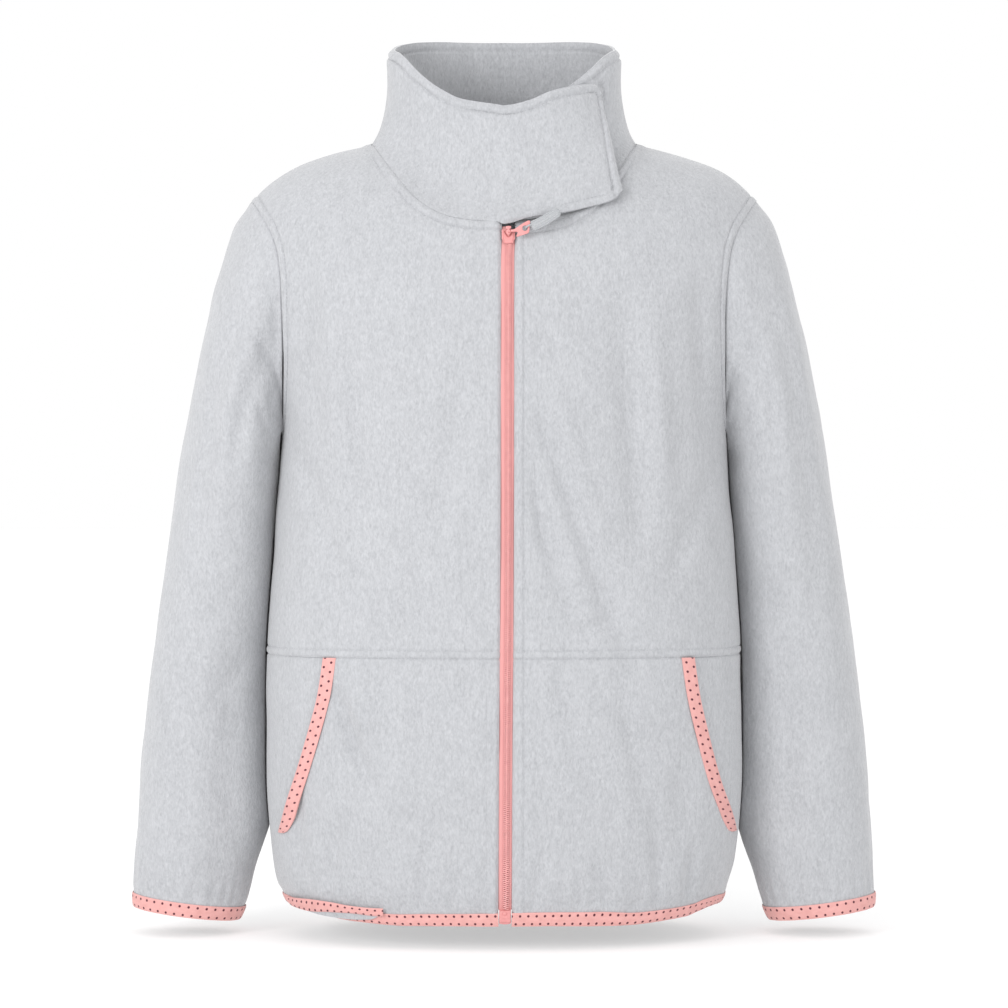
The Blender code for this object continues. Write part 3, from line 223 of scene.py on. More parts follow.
# %% Cutting lines of the panels
ZIP_HALF_OPENING = 0.0053    # from the zip's line to the folded edge of a front
OPENING_TOP_Z = -0.075       # top of that opening, below the collar
ZIP_LINE = {
    "height": (-0.6200, -0.5200, -0.4500, -0.3700, -0.2800, -0.1600, -0.1000, -0.0825, -0.0600),
    "x":      (0.0008, 0.0012, 0.0017, 0.0023, 0.0026, 0.0027, 0.0029, 0.0035, 0.0036),
}
HEM_FRONT_Z, HEM_SIDE_RISE = -0.6152, 0.0042
POCKET_END_Z = -0.558
POCKET_MOUTH = {
    "height": (-0.6400, -0.5580, -0.5350, -0.5050, -0.4750, -0.4450, -0.4150),
    "reach":  (0.2060, 0.1830, 0.1765, 0.1670, 0.1590, 0.1520, 0.1475),
}


def zip_x(z):
    return along(ZIP_LINE, "x", z)


def hem_z(around):
    """Top edge of the hem binding; around is 0 at the centre and 1 at the side."""
    return HEM_FRONT_Z + HEM_SIDE_RISE * around * around


print("hem rises", round(HEM_SIDE_RISE * 1000, 1), "mm towards the sides")

# %% How the hem hangs, and the panels' other edges
HEM_HANG = {
    "x":    (-0.181, -0.175, -0.165, -0.157, -0.145, -0.127, -0.105, -0.090, -0.060, -0.030, 0.028,
             0.075, 0.107, 0.134, 0.150, 0.160, 0.170, 0.176, 0.181),
    "top":  (0.0008, 0.0022, 0.0016, 0.0018, 0.0006, -0.0014, -0.0026, -0.0026, -0.0012, -0.0004,
             0.0010, 0.0, -0.0024, -0.0016, -0.0004, 0.0024, 0.0032, 0.0022, 0.0008),
    "foot": (0.0, 0.0016, 0.0010, 0.0004, -0.0010, -0.0026, -0.0030, -0.0032, -0.0020, -0.0012,
             -0.0011, -0.0028, -0.0040, -0.0032, -0.0024, 0.0004, 0.0018, 0.0012, 0.0),
}


def panel_foot(x, z):
    """Lower edge of a front, where the hem hangs lower than its smooth curve."""
    return z + np.minimum(along(HEM_HANG, "top", x, "x"), 0.0)


def side_reach(z):
    """Side seam below the underarm and the armhole above it."""
    return np.where(z < UNDERARM_Z, along(BODY, "half_width", z), along(ARMHOLE, "reach", z))


def neck_z(face, side, x):
    if face == "front":
        return -NECK_DROP[side] * along(NECK_CURVE, "drop", np.abs(x), "out")
    return -NECK_DROP_BACK * (1.0 - np.minimum(np.abs(x) / NECK_HALF_WIDTH, 1.0) ** 2.2)


def top_z(face, side, x):
    """Neck seam near the centre and shoulder seam beyond it."""
    return np.where(np.abs(x) < NECK_HALF_WIDTH, neck_z(face, side, x), shoulder_line(x))


def pocket_mouth(side, z):
    reach = along(POCKET_MOUTH, "reach", z)
    if side < 0:
        return reach - 0.0020 * ease(-0.60, -0.55, z) - 0.0028 * ease(-0.535, -0.43, z)
    return reach + 0.0030 * ease(-0.60, -0.55, z) + 0.0020 * (1 - ease(-0.55, -0.515, z))


print("zip leans", round(float(zip_x(-0.08) - zip_x(-0.62)), 4), "m over its length")

# %% [markdown]
# ## How finely the cloth is divided
#
# A groove of stitching is a millimetre wide, while most of a panel is nearly flat. So rows
# of points crowd within a centimetre of each seam and spread out in the field. A uniform
# grid that could show the groove would need ten times as many points.

# %% Spacing that crowds towards the seams
SEAM_STEPS = (0.0, 0.0004, 0.0010, 0.0019, 0.0031, 0.0044, 0.0054, 0.0061, 0.0067, 0.0073,
              0.0081, 0.0093, 0.0110, 0.0132)


def spaced(length, field, start=SEAM_STEPS, end=SEAM_STEPS):
    """Distances from 0 to length: crowded at both ends, a field step apart between."""
    low, high = start[-1], length - end[-1]
    count = max(2, round((high - low) / field))
    middle = np.linspace(low, high, count + 1)
    return np.concatenate((start[:-1], middle, length - np.array(end[:-1])[::-1]))


def run_length(points):
    """Distance along a line of points."""
    steps = np.linalg.norm(np.diff(points, axis=0), axis=1)
    return np.concatenate(((0.0,), np.cumsum(steps)))


def coons(left, right, bottom, top, up, across):
    """Fills four edges of a panel in the front view."""
    up, across = up[:, None, None], across[None, :, None]
    sides = mix(left[:, None], right[:, None], across) + mix(bottom[None], top[None], up)
    corners = mix(mix(bottom[0], bottom[-1], across), mix(top[0], top[-1], across), up)
    return sides - corners


print(len(spaced(0.25, 0.0027)), "columns across a front")

# %% [markdown]
# ## A wall of cloth
#
# Fleece is about two millimetres thick and is seen from both sides at the neck, hem and
# cuffs. Each piece is therefore a closed wall: an outer grid, an inner grid and a rim.
# A Solidify modifier does nearly this, but it can't let the outside swell over a seam
# allowance while the inside stays smooth. The UV map is laid out in metres along the
# grain, so that the printed dots keep their real size.

# %% A wall between two grids, and its grain
def grain_of(outer, ring):
    """Distances across and along the cloth, in metres, as a UV for each column edge."""
    if ring:
        outer = np.concatenate((outer, outer[:, :1]), axis=1)
    across = np.linalg.norm(np.diff(outer, axis=1), axis=2)
    upward = np.linalg.norm(np.diff(outer, axis=0), axis=2)
    middle = across.shape[1] // 2
    u = np.concatenate((np.zeros((len(outer), 1)), np.cumsum(across, axis=1)), axis=1)
    u -= u[:, middle:middle + 1]
    v = np.concatenate((np.zeros((1, outer.shape[1])), np.cumsum(upward, axis=0)))
    return np.stack((u, v), axis=-1)


# %% A closed wall between two grids
def cloth_piece(name, outer, inner, ring=False, keep=None, grain=None):
    """Closed wall of cloth between an outer and an inner grid of points."""
    rows, columns = outer.shape[:2]
    grain = grain_of(outer, ring) if grain is None else grain
    across = columns if ring else columns - 1
    keep = np.ones((rows - 1, across), bool) if keep is None else keep
    row, column = np.nonzero(keep)
    onward = (column + 1) % columns

    def corner(r, c):
        return r * columns + c

    loop = np.stack((corner(row, column), corner(row, onward), corner(row + 1, onward),
                     corner(row + 1, column)), axis=1)
    where = np.stack((grain[row, column], grain[row, column + 1], grain[row + 1, column + 1],
                      grain[row + 1, column]), axis=1)
    shift = rows * columns
    faces, maps = [loop, loop[:, ::-1] + shift], [where, where[:, ::-1]]
    padded = np.pad(keep, 1)
    if ring:
        padded[:, 0], padded[:, -1] = padded[:, -2], padded[:, 1]
    beside = (padded[row, column + 1], padded[row + 1, column + 2],
              padded[row + 2, column + 1], padded[row + 1, column])
    for index, cloth in enumerate(beside):
        rim = ~cloth
        first, second = loop[rim, index], loop[rim, (index + 1) % 4]
        faces.append(np.stack((second, first, first + shift, second + shift), axis=1))
        near, far = where[rim, index], where[rim, (index + 1) % 4]
        maps.append(np.stack((far, near, near, far), axis=1))
    points = np.concatenate((outer.reshape(-1, 3), inner.reshape(-1, 3)))
    return fine_mesh(name, points, np.concatenate(faces), np.concatenate(maps))


# %% A mesh from arrays, and its area
def fine_mesh(name, points, faces, maps=None):
    """Object from arrays, with only the points in use and its faces turned outward."""
    used, faces = np.unique(faces, return_inverse=True)
    points, faces = points[used], faces.reshape(-1, 4 if maps is None else maps.shape[1])
    corners = points[faces]
    volume = np.einsum("ij,ij->", corners[:, 0], np.cross(corners[:, 1], corners[:, 2]))
    volume += np.einsum("ij,ij->", corners[:, 0], np.cross(corners[:, 2], corners[:, -1]))
    if volume < 0:
        faces = faces[:, ::-1]
        maps = None if maps is None else maps[:, ::-1]
    mesh = bpy.data.meshes.new(name)
    mesh.from_pydata(points, [], faces)
    if maps is not None:
        mesh.uv_layers.new(name="grain").data.foreach_set("uv", maps.reshape(-1))
    mesh.shade_smooth()
    mesh.set_sharp_from_angle(angle=math.radians(55))
    piece = bpy.data.objects.new(name, mesh)
    bpy.context.scene.collection.objects.link(piece)
    return piece


def cloth_area(piece):
    """Area of one face of a wall of cloth, in square metres."""
    return sum(face.area for face in piece.data.polygons) / 2


# %% [markdown]
# ## Seams in relief
#
# Where two panels are sewn, the edge rolls under and the line sinks. On one side of most
# seams of this jacket the allowance is stitched flat: it pads a band 6 to 7 mm wide, and
# the thread pulls a fine groove along the band's other edge. All of it is a push along the
# surface's direction that depends only on the distance to the seam.

# %% Distance to a seam and the relief it makes
TOPSTITCH = 0.0066           # seam to topstitching
YOKE_STITCH = 0.0062         # the same above the pocket seam


def seam_distance(points, seam):
    """Distance from every point to the nearest point of a line."""
    flat = points.reshape(-1, 3)
    nearest = np.empty(len(flat))
    for start in range(0, len(flat), 4000):
        part = flat[start:start + 4000, None, :] - seam[None]
        nearest[start:start + 4000] = np.sqrt((part ** 2).sum(axis=2).min(axis=1))
    return nearest.reshape(points.shape[:-1])


def rolled(distance, depth=0.0006, reach=0.0012):
    """The cut edge turns under within a millimetre of the seam."""
    return -depth * np.exp(-(distance / reach) ** 2)


def groove(distance, at, depth=0.0007, reach=0.0009):
    return -depth * np.exp(-((distance - at) / reach) ** 2)


def stitched_band(distance, at=TOPSTITCH, swell=0.00055, depth=0.0007):
    """Padded allowance between a seam and its topstitching."""
    band = ease(0.0, at * 0.4, distance) * (1.0 - ease(at * 0.8, at * 1.15, distance))
    return swell * band + groove(distance, at, depth)


def uneven(x, z, amount=0.00035):
    """The slight, slow unevenness of a thick napped cloth that hangs."""
    waves = ((31, 17, 0.3, 1.0), (-23, 41, 1.9, 0.9), (67, 29, 4.1, 0.55), (-59, 83, 2.2, 0.5),
             (113, -61, 5.0, 0.33), (19, 131, 0.9, 0.3), (151, 97, 3.3, 0.22))
    total = sum(share * np.sin(a * x + b * z + start) for a, b, start, share in waves)
    return amount * total


print("a band of", TOPSTITCH * 1000, "mm beside each topstitched seam")

# %% [markdown]
# ## Folds of the worn jacket
#
# The largest folds belong to the hollow model. Between them lie finer ones: drag lines that
# run from the underarm and from the zip, and short gathers above the bindings, where tape
# draws the cloth in. They are listed as soft troughs and ridges of unequal depth.
# A cloth simulation would give folds too, but not these ones in these places.

# %% Finer folds, front and back
CREASE_DEPTH = 3.0           # each fold is this many times as deep as its row says
FRONT_CREASES = (
    {"x": (0.040, 0.078), "z": (-0.205, -0.330), "half_width": 0.007, "depth": -0.0012},
    {"x": (0.030, 0.0935), "z": (-0.225, -0.398), "half_width": 0.009, "depth": 0.0014},
    {"x": (0.099, 0.108), "z": (-0.190, -0.330), "half_width": 0.010, "depth": 0.0011},
    {"x": (0.026, 0.059), "z": (-0.285, -0.394), "half_width": 0.0075, "depth": 0.0011},
    {"x": (0.022, 0.034), "z": (-0.250, -0.330), "half_width": 0.006, "depth": 0.0009},
    {"x": (0.060, 0.088), "z": (-0.392, -0.386), "half_width": 0.005, "depth": 0.0010},
    {"x": (0.118, 0.128), "z": (-0.160, -0.300), "half_width": 0.009, "depth": -0.0012},
    {"x": (0.155, 0.160), "z": (-0.120, -0.230), "half_width": 0.007, "depth": 0.0012},
    {"x": (-0.140, -0.132), "z": (-0.110, -0.260), "half_width": 0.009, "depth": -0.0012},
    {"x": (-0.118, -0.110), "z": (-0.190, -0.330), "half_width": 0.009, "depth": 0.0009},
    {"x": (-0.030, -0.052), "z": (-0.180, -0.320), "half_width": 0.010, "depth": 0.0008},
    {"x": (-0.070, -0.060), "z": (-0.290, -0.400), "half_width": 0.008, "depth": 0.0007},
    {"x": (-0.165, -0.130), "z": (-0.250, -0.345), "half_width": 0.008, "depth": 0.0012},
    {"x": (0.168, 0.135), "z": (-0.262, -0.350), "half_width": 0.008, "depth": 0.0011},
    {"x": (0.040, 0.060), "z": (-0.425, -0.470), "half_width": 0.007, "depth": 0.0009},
    {"x": (0.094, 0.112), "z": (-0.445, -0.530), "half_width": 0.008, "depth": 0.0011},
    {"x": (0.118, 0.124), "z": (-0.520, -0.600), "half_width": 0.007, "depth": 0.0012},
    {"x": (0.152, 0.146), "z": (-0.565, -0.603), "half_width": 0.005, "depth": 0.0012},
    {"x": (-0.131, -0.113), "z": (-0.444, -0.500), "half_width": 0.006, "depth": 0.0019},
    {"x": (-0.119, -0.098), "z": (-0.446, -0.506), "half_width": 0.009, "depth": -0.0012},
    {"x": (-0.111, -0.102), "z": (-0.490, -0.520), "half_width": 0.006, "depth": 0.0012},
    {"x": (-0.132, -0.140), "z": (-0.545, -0.600), "half_width": 0.006, "depth": 0.0012},
    {"x": (-0.165, -0.163), "z": (-0.520, -0.590), "half_width": 0.005, "depth": 0.0012},
    {"x": (-0.060, -0.066), "z": (-0.560, -0.606), "half_width": 0.006, "depth": 0.0008},
    {"x": (0.075, 0.080), "z": (-0.572, -0.608), "half_width": 0.005, "depth": 0.0009},
    {"x": (0.030, 0.026), "z": (-0.575, -0.608), "half_width": 0.005, "depth": 0.0007},
)
BACK_CREASES = (
    {"x": (-0.120, -0.070), "z": (-0.200, -0.330), "half_width": 0.009, "depth": 0.0013},
    {"x": (0.125, 0.085), "z": (-0.205, -0.320), "half_width": 0.009, "depth": 0.0012},
    {"x": (-0.080, 0.010), "z": (-0.360, -0.420), "half_width": 0.009, "depth": -0.0012},
    {"x": (0.000, 0.060), "z": (-0.400, -0.455), "half_width": 0.008, "depth": 0.0010},
    {"x": (-0.165, -0.130), "z": (-0.255, -0.340), "half_width": 0.008, "depth": 0.0012},
    {"x": (0.166, 0.136), "z": (-0.260, -0.350), "half_width": 0.008, "depth": 0.0012},
    {"x": (-0.150, -0.158), "z": (-0.480, -0.590), "half_width": 0.008, "depth": 0.0012},
    {"x": (0.146, 0.152), "z": (-0.500, -0.600), "half_width": 0.008, "depth": 0.0012},
    {"x": (-0.020, -0.014), "z": (-0.540, -0.606), "half_width": 0.006, "depth": 0.0009},
    {"x": (0.050, 0.044), "z": (-0.560, -0.607), "half_width": 0.006, "depth": 0.0009},
    {"x": (-0.030, 0.040), "z": (-0.075, -0.090), "half_width": 0.010, "depth": 0.0010},
)


def hang(face, x, z):
    """Push along the surface's direction from finer folds and unevenness."""
    creases = FRONT_CREASES if face == "front" else BACK_CREASES
    near_hem = ease(-0.560, -0.606, z)
    gathers = 0.0007 * np.sin(x * 410 + 1.7 * np.sin(x * 97)) * near_hem
    push = uneven(x, z) - CREASE_DEPTH * fold_sum(creases, x, z) + gathers
    edge = hem_z(np.abs(x) / along(BODY, "half_width", z))
    edge = panel_foot(x, edge) if face == "front" else edge
    return push * ease(0.0012, 0.0085, z - edge)


print(len(FRONT_CREASES) + len(BACK_CREASES), "finer folds")

# %% [markdown]
# ## Upper fronts
#
# Each upper front runs from the shoulder to the pocket seam and is folded back along the
# zip. The folded edge is held by a line of topstitching that hangs plumb while the zip
# leans, so the band between them is wider at one end.

# %% Grid of an upper front
PLACKET = {-1: 0.0137, 1: 0.0154}    # topstitching beside the zip, from the centre line
FIELD = 0.0030               # spacing of points away from the seams
LINE_POINTS = 2400           # points of a line that is measured before it is divided


def surface_line(face, flat):
    """A line drawn in the front view, laid on the body."""
    return body_point(face, flat[:, 0], flat[:, 1])


def shared_line(face, flat, shares):
    """Points of a flat line, spaced by their real distance over the body."""
    length = run_length(surface_line(face, flat))
    return np.stack([np.interp(shares * length[-1], length, flat[:, axis])
                     for axis in (0, 1)], axis=1)


def upper_front_grid(side):
    low = YOKE_Z + SEAM_GAP / 2
    heights = spaced(-SHOULDER_DROP - low, FIELD) + low
    right = np.stack((side_reach(heights), heights), axis=1)
    up = (heights - low) / (heights[-1] - low)
    edge = side * zip_x(OPENING_TOP_Z) + ZIP_HALF_OPENING
    x = np.linspace(edge, SHOULDER_X, LINE_POINTS)
    top = np.stack((x, top_z("front", side, x)), axis=1)
    top[0, 1] = -NECK_DROP[side]
    turn = np.sin(np.linspace(0, math.pi / 2, LINE_POINTS))
    foot = side * zip_x(low) + ZIP_HALF_OPENING
    bottom = np.stack((mix(foot, right[0, 0], turn), np.full(LINE_POINTS, low)), axis=1)
    length = run_length(surface_line("front", bottom))[-1]
    columns = spaced(length, FIELD)
    shares = columns / length
    left_z = mix(low, top[0, 1], up)
    left = np.stack((side * zip_x(left_z) + ZIP_HALF_OPENING, left_z), axis=1)
    across = np.arcsin(np.clip((shared_line("front", bottom, shares)[:, 0] - foot)
                               / (right[0, 0] - foot), 0, 1)) / (math.pi / 2)
    grid = coons(left, right, shared_line("front", bottom, shares),
                 shared_line("front", top, shares), up, across)
    grid[..., 0] *= side
    return grid


# %% Relief beside the zip and along the seams
def placket_relief(side, x, z):
    """Rolled edge, padded band and stitch groove beside the zip."""
    edge = side * x - (side * zip_x(z) + ZIP_HALF_OPENING)
    stitch = PLACKET[side] - side * zip_x(z) - ZIP_HALF_OPENING
    band = ease(0.0, 0.0030, edge) * (1.0 - ease(stitch * 0.85, stitch * 1.15, edge))
    return rolled(edge, 0.0012, 0.0013) + 0.0006 * band + groove(edge, stitch, 0.0006)


def edge_lines(side, face="front"):
    """The armhole, neck, shoulder and side seams, laid on the body."""
    z = np.linspace(UNDERARM_Z, -SHOULDER_DROP, 240)
    armhole = np.stack((side * side_reach(z), z), axis=1)
    x = np.linspace(0.0, NECK_HALF_WIDTH, 200)
    neck = np.stack((side * x, neck_z(face, side, x)), axis=1)
    x = np.linspace(NECK_HALF_WIDTH, SHOULDER_X, 120)
    shoulder = np.stack((side * x, shoulder_line(x)), axis=1)
    z = np.linspace(hem_z(1.0), UNDERARM_Z, 300)
    seam = np.stack((side * along(BODY, "half_width", z), z), axis=1)
    return {"armhole": surface_line(face, armhole), "neck": surface_line(face, neck),
            "shoulder": surface_line(face, shoulder), "side": surface_line(face, seam)}


def upper_relief(side, x, z, face="front"):
    plain = body_point(face, x, z)
    lines = edge_lines(side, face)
    away = {name: seam_distance(plain, line) for name, line in lines.items()}
    push = hang(face, x, z) * ease(0.0, 0.012, np.minimum(away["neck"], away["shoulder"]))
    for name in ("shoulder", "side", "armhole"):
        push = push + rolled(away[name])
    push = push + stitched_band(away["armhole"], swell=0.0007, depth=0.0010)
    push = push + stitched_band(away["neck"], swell=0.0008, depth=0.0012)
    push = push + rolled(away["neck"], 0.0002, 0.0016)
    return push


def front_relief(side, x, z):
    """Everything that raises or sinks the cloth of a front, above or below the seam."""
    push = upper_relief(side, x, z) + placket_relief(side, x, z)
    over = z - YOKE_Z
    above = stitched_band(np.abs(over), YOKE_STITCH) * (over > 0)
    return push + rolled(np.abs(over), 0.0009, 0.0010) + above


# %% The two upper fronts
def fleece_panel(name, face, grid, push, keep=None):
    x, z = grid[..., 0], grid[..., 1]
    outer = body_point(face, x, z, push)
    inner = body_point(face, x, z, -FLEECE + 0.3 * np.minimum(push, 0.0))
    return cloth_piece(name, outer, inner, keep=keep)


CLOTH = {}
for side, word in ((-1, "right"), (1, "left")):
    grid = upper_front_grid(side)
    name = "upper_front_" + word
    CLOTH[name] = fleece_panel(name, "front", grid, front_relief(side, *np.moveaxis(grid, 2, 0)))
    print(name, grid.shape[:2], "area", round(cloth_area(CLOTH[name]), 4), "m2")

# %% [markdown]
# ## Lower fronts and the pockets' side pieces
#
# Below the seam the panel is cut away along a slanting pocket mouth. A separate piece fills
# the corner behind it, set back by the thickness of the cloth, so the mouth reads as an
# opening. Cutting both from one mesh would be simpler, but the mouth's edge would be lost.

# %% Grid of a lower front
BELOW = 0.3                  # share of a lower front's rows below the pocket's end
BELOW_LENGTH, MOUTH_LENGTH = 0.057, 0.143


def lower_front_grid(side):
    low = spaced(BELOW_LENGTH, FIELD)[:-len(SEAM_STEPS) + 1] / BELOW_LENGTH
    high = spaced(MOUTH_LENGTH, FIELD, (0.0, 0.0015)) / MOUTH_LENGTH
    ups = np.concatenate((low * BELOW, BELOW + (1 - BELOW) * high))
    ups = np.unique(np.round(ups, 7))
    centre = spaced(1.0, 0.016, (0.0, 0.0025, 0.006, 0.011, 0.018, 0.027, 0.036, 0.044, 0.050,
                                 0.056, 0.062, 0.068, 0.076, 0.086), (0.0, 0.004, 0.012))
    parts = np.concatenate((centre, 1.0 + np.linspace(0.0, 1.0, 26)[1:]))
    up, part = np.meshgrid(ups, parts, indexing="ij")
    z = np.full(up.shape, YOKE_Z)

    def reach(part, z):
        width = along(BODY, "half_width", z)
        mouth = np.minimum(pocket_mouth(side, z), width * 0.985)
        fold = side * zip_x(z) + ZIP_HALF_OPENING
        turn = np.sin(np.clip(part - 1.0, 0, 1) * math.pi / 2)
        return np.where(part <= 1.0, mix(fold, mouth, part), mix(mouth, width, turn))

    for _ in range(3):
        around = reach(part, z) / along(BODY, "half_width", z)
        foot = panel_foot(side * reach(part, z), hem_z(around)) + SEAM_GAP
        z = np.where(up <= BELOW, mix(foot, POCKET_END_Z, up / BELOW),
                     mix(POCKET_END_Z, YOKE_Z - SEAM_GAP / 2, (up - BELOW) / (1 - BELOW)))
    end_row = int(np.argmin(np.abs(ups - BELOW)))
    keep = np.ones((len(ups) - 1, len(parts) - 1), bool)
    keep[end_row:, len(centre) - 1:] = False
    return np.stack((side * reach(part, z), z), axis=2), keep


# %% The side pieces, and all four panels
def side_piece_grid(side):
    heights = spaced(YOKE_Z - POCKET_END_Z - 1.5 * SEAM_GAP, FIELD, (0.0, 0.0015))
    z = (heights + POCKET_END_Z + SEAM_GAP)[:, None] * np.ones((1, 24))
    part = np.linspace(0.0, 1.0, 24)[None]
    mouth = pocket_mouth(side, z) + SEAM_GAP * 1.3
    x = side * mix(mouth, along(BODY, "half_width", z), np.sin(part * math.pi / 2))
    back = -0.0012 * (1.0 - ease(0.0, 0.7, part * np.ones_like(z)))
    back = back * ease(0.0, 0.014, heights)[:, None]
    return np.stack((x, z), axis=2), back


for side, word in ((-1, "right"), (1, "left")):
    grid, keep = lower_front_grid(side)
    x, z = np.moveaxis(grid, 2, 0)
    push = front_relief(side, x, z)
    CLOTH["lower_front_" + word] = fleece_panel("lower_front_" + word, "front", grid, push, keep)
    grid, back = side_piece_grid(side)
    x, z = np.moveaxis(grid, 2, 0)
    push = back + np.minimum(front_relief(side, x, z), 0.0003)
    CLOTH["pocket_side_piece_" + word] = fleece_panel(
        "pocket_side_piece_" + word, "front", grid, push)
    for name in ("lower_front_", "pocket_side_piece_"):
        print(name + word, "area", round(cloth_area(CLOTH[name + word]), 4), "m2")

# %% [markdown]
# ## Back
#
# The back is one panel cut on the fold of the cloth, from the hem to the neck. It is filled
# as a left half and mirrored, then the two halves are joined into one grid before the folds
# are added, so the folds themselves stay uneven.

# %% Back
def back_grid():
    low = float(hem_z(1.0)) + SEAM_GAP
    heights = spaced(-SHOULDER_DROP - low, FIELD * 1.1) + low
    right = np.stack((side_reach(heights), heights), axis=1)
    up = (heights - low) / (heights[-1] - low)
    x = np.linspace(0.0, SHOULDER_X, LINE_POINTS)
    top = np.stack((x, top_z("back", 1, x)), axis=1)
    turn = np.linspace(0, 1, LINE_POINTS)
    part = np.sin(turn * math.pi / 2)
    bottom = np.stack((right[0, 0] * part, hem_z(part) + SEAM_GAP), axis=1)
    length = run_length(surface_line("back", bottom))[-1]
    shares = spaced(length, FIELD * 1.1, (0.0, FIELD)) / length
    across = np.interp(shares * length, run_length(surface_line("back", bottom)), turn)
    left = np.stack((np.zeros(len(up)), mix(bottom[0, 1], top[0, 1], up)), axis=1)
    half = coons(left, right, shared_line("back", bottom, shares),
                 shared_line("back", top, shares), up, across)
    mirrored = half[:, :0:-1].copy()
    mirrored[..., 0] *= -1
    return np.concatenate((mirrored, half), axis=1)


grid = back_grid()
x, z = np.moveaxis(grid, 2, 0)
push = np.where(x > 0, upper_relief(1, x, z, "back"), upper_relief(-1, x, z, "back"))
CLOTH["back_panel"] = fleece_panel("back_panel", "back", grid, push)
print("back", grid.shape[:2], "area", round(cloth_area(CLOTH["back_panel"]), 4), "m2")

# %% [markdown]
# ## Sleeves
#
# A sleeve is one piece, joined along a seam under the arm and set into the armhole. Its
# section changes from a tall oval at the shoulder to a narrow one at the cuff. The surface
# is a loft through a table of sections. A bent cylinder would need as many corrections as
# this table has rows.

# %% Sleeves
SLEEVE = {
    "outer_x":    (0.2065, 0.2210, 0.2335, 0.2435, 0.2555, 0.2660, 0.2765, 0.2860, 0.2930,
                   0.2985, 0.3015, 0.3035),
    "outer_z":    (-0.0460, -0.0690, -0.1060, -0.1460, -0.2000, -0.2620, -0.3360, -0.4000,
                   -0.4570, -0.5170, -0.5660, -0.6130),
    "inner_x":    (0.1818, 0.1850, 0.1870, 0.1885, 0.1900, 0.1918, 0.1945, 0.1968, 0.1975,
                   0.1962, 0.2035, 0.2130),
    "inner_z":    (-0.2345, -0.2390, -0.2470, -0.2590, -0.2820, -0.3180, -0.3740, -0.4290,
                   -0.4830, -0.5420, -0.5900, -0.6245),
    "centre_y":   (-0.0030, -0.0020, 0.0000, 0.0020, 0.0050, 0.0080, 0.0100, 0.0100, 0.0090,
                   0.0070, 0.0040, 0.0000),
    "half_depth": (0.0610, 0.0625, 0.0630, 0.0625, 0.0610, 0.0590, 0.0565, 0.0540, 0.0510,
                   0.0475, 0.0425, 0.0345),
    "row":        tuple(range(12)),
}
SLEEVE_FOLDS = (
    {"turn": -1.10, "rows": (1.2, 6.0), "spread": 0.26, "depth": 0.0040},
    {"turn": -1.75, "rows": (0.4, 4.0), "spread": 0.20, "depth": 0.0045},
    {"turn": 1.20, "rows": (1.0, 5.0), "spread": 0.28, "depth": 0.0040},
    {"turn": 1.95, "rows": (6.0, 9.5), "spread": 0.26, "depth": 0.0035},
    {"turn": -2.00, "rows": (7.0, 10.0), "spread": 0.24, "depth": 0.0025},
)


def wrap(turn):
    return (turn + math.pi) % (2 * math.pi) - math.pi


def sleeve_trough(side, turn, row):
    total = 0.0
    for fold in SLEEVE_FOLDS:
        away = wrap(turn - fold["turn"] - 0.06 * side)
        first, last = fold["rows"]
        ends = ease(first - 0.8, first + 0.8, row) * (1 - ease(last - 0.8, last + 0.8, row))
        total = total + fold["depth"] * ends * np.exp(-(away / fold["spread"]) ** 2)
    return total


def armhole_height(turn):
    middle = (UNDERARM_Z - SHOULDER_DROP) / 2
    return middle + (-SHOULDER_DROP - UNDERARM_Z) / 2 * np.cos(turn)


def armhole_point(turn):
    """Armhole edge on the wearer's left; turn is 0 at the shoulder, positive to the back."""
    turn = wrap(turn)
    z = armhole_height(np.abs(turn))
    x = along(ARMHOLE, "reach", z)
    depth = np.where(turn > 0, body_form("back", x, None, z), -body_form("front", x, None, z))
    return np.stack((x, depth, z), axis=-1)


def section_ends(row):
    value = {key: along(SLEEVE, key, row, "row") for key in SLEEVE if key != "row"}
    outer = np.stack((value["outer_x"], value["centre_y"], value["outer_z"]), axis=-1)
    inner = np.stack((value["inner_x"], value["centre_y"], value["inner_z"]), axis=-1)
    return outer, inner, value["half_depth"]


# %% Surface of a sleeve
def sleeve_place(side, turn, row):
    """Plain outer surface of a sleeve."""
    outer, inner, depth = section_ends(row)
    depth = depth - sleeve_trough(side, turn, row) * np.abs(np.sin(turn))
    place = (outer + inner) / 2 + (outer - inner) / 2 * np.cos(turn)[..., None]
    place[..., 1] += depth * np.sin(turn)
    fade = 1.0 - ease(0.0, 3.5, row)
    first, second, half = section_ends(np.zeros_like(row))
    plain = (first + second) / 2 + (first - second) / 2 * np.cos(turn)[..., None]
    plain[..., 1] += half * np.sin(turn)
    place = place + (armhole_point(turn) - plain) * fade[..., None]
    place[..., 0] = (place[..., 0] + SEAM_GAP) * side
    return place


def sleeve_direction(side, turn, row):
    step, last = 0.02, len(SLEEVE["row"]) - 1
    down = (sleeve_place(side, turn, np.minimum(row + step, last))
            - sleeve_place(side, turn, np.maximum(row - step, 0.0)))
    about = sleeve_place(side, turn + step, row) - sleeve_place(side, turn - step, row)
    normal = np.cross(down, about) * side
    normal /= np.linalg.norm(normal, axis=-1, keepdims=True)
    # Sewn to the top of the armhole, the sleeve's edge lies along the panel's.
    folded = np.abs(wrap(turn))
    edge = armhole_point(turn)
    panel = np.where((np.sin(turn) < 0)[..., None],
                     body_direction("front", edge[..., 0], edge[..., 2]),
                     body_direction("back", edge[..., 0], edge[..., 2]))
    panel[..., 0] *= side
    sewn = mix(panel, normal, ease(math.radians(60), math.radians(150), folded)[..., None])
    normal = np.where((row < 0.02)[..., None], sewn, normal)
    return normal / np.linalg.norm(normal, axis=-1, keepdims=True)


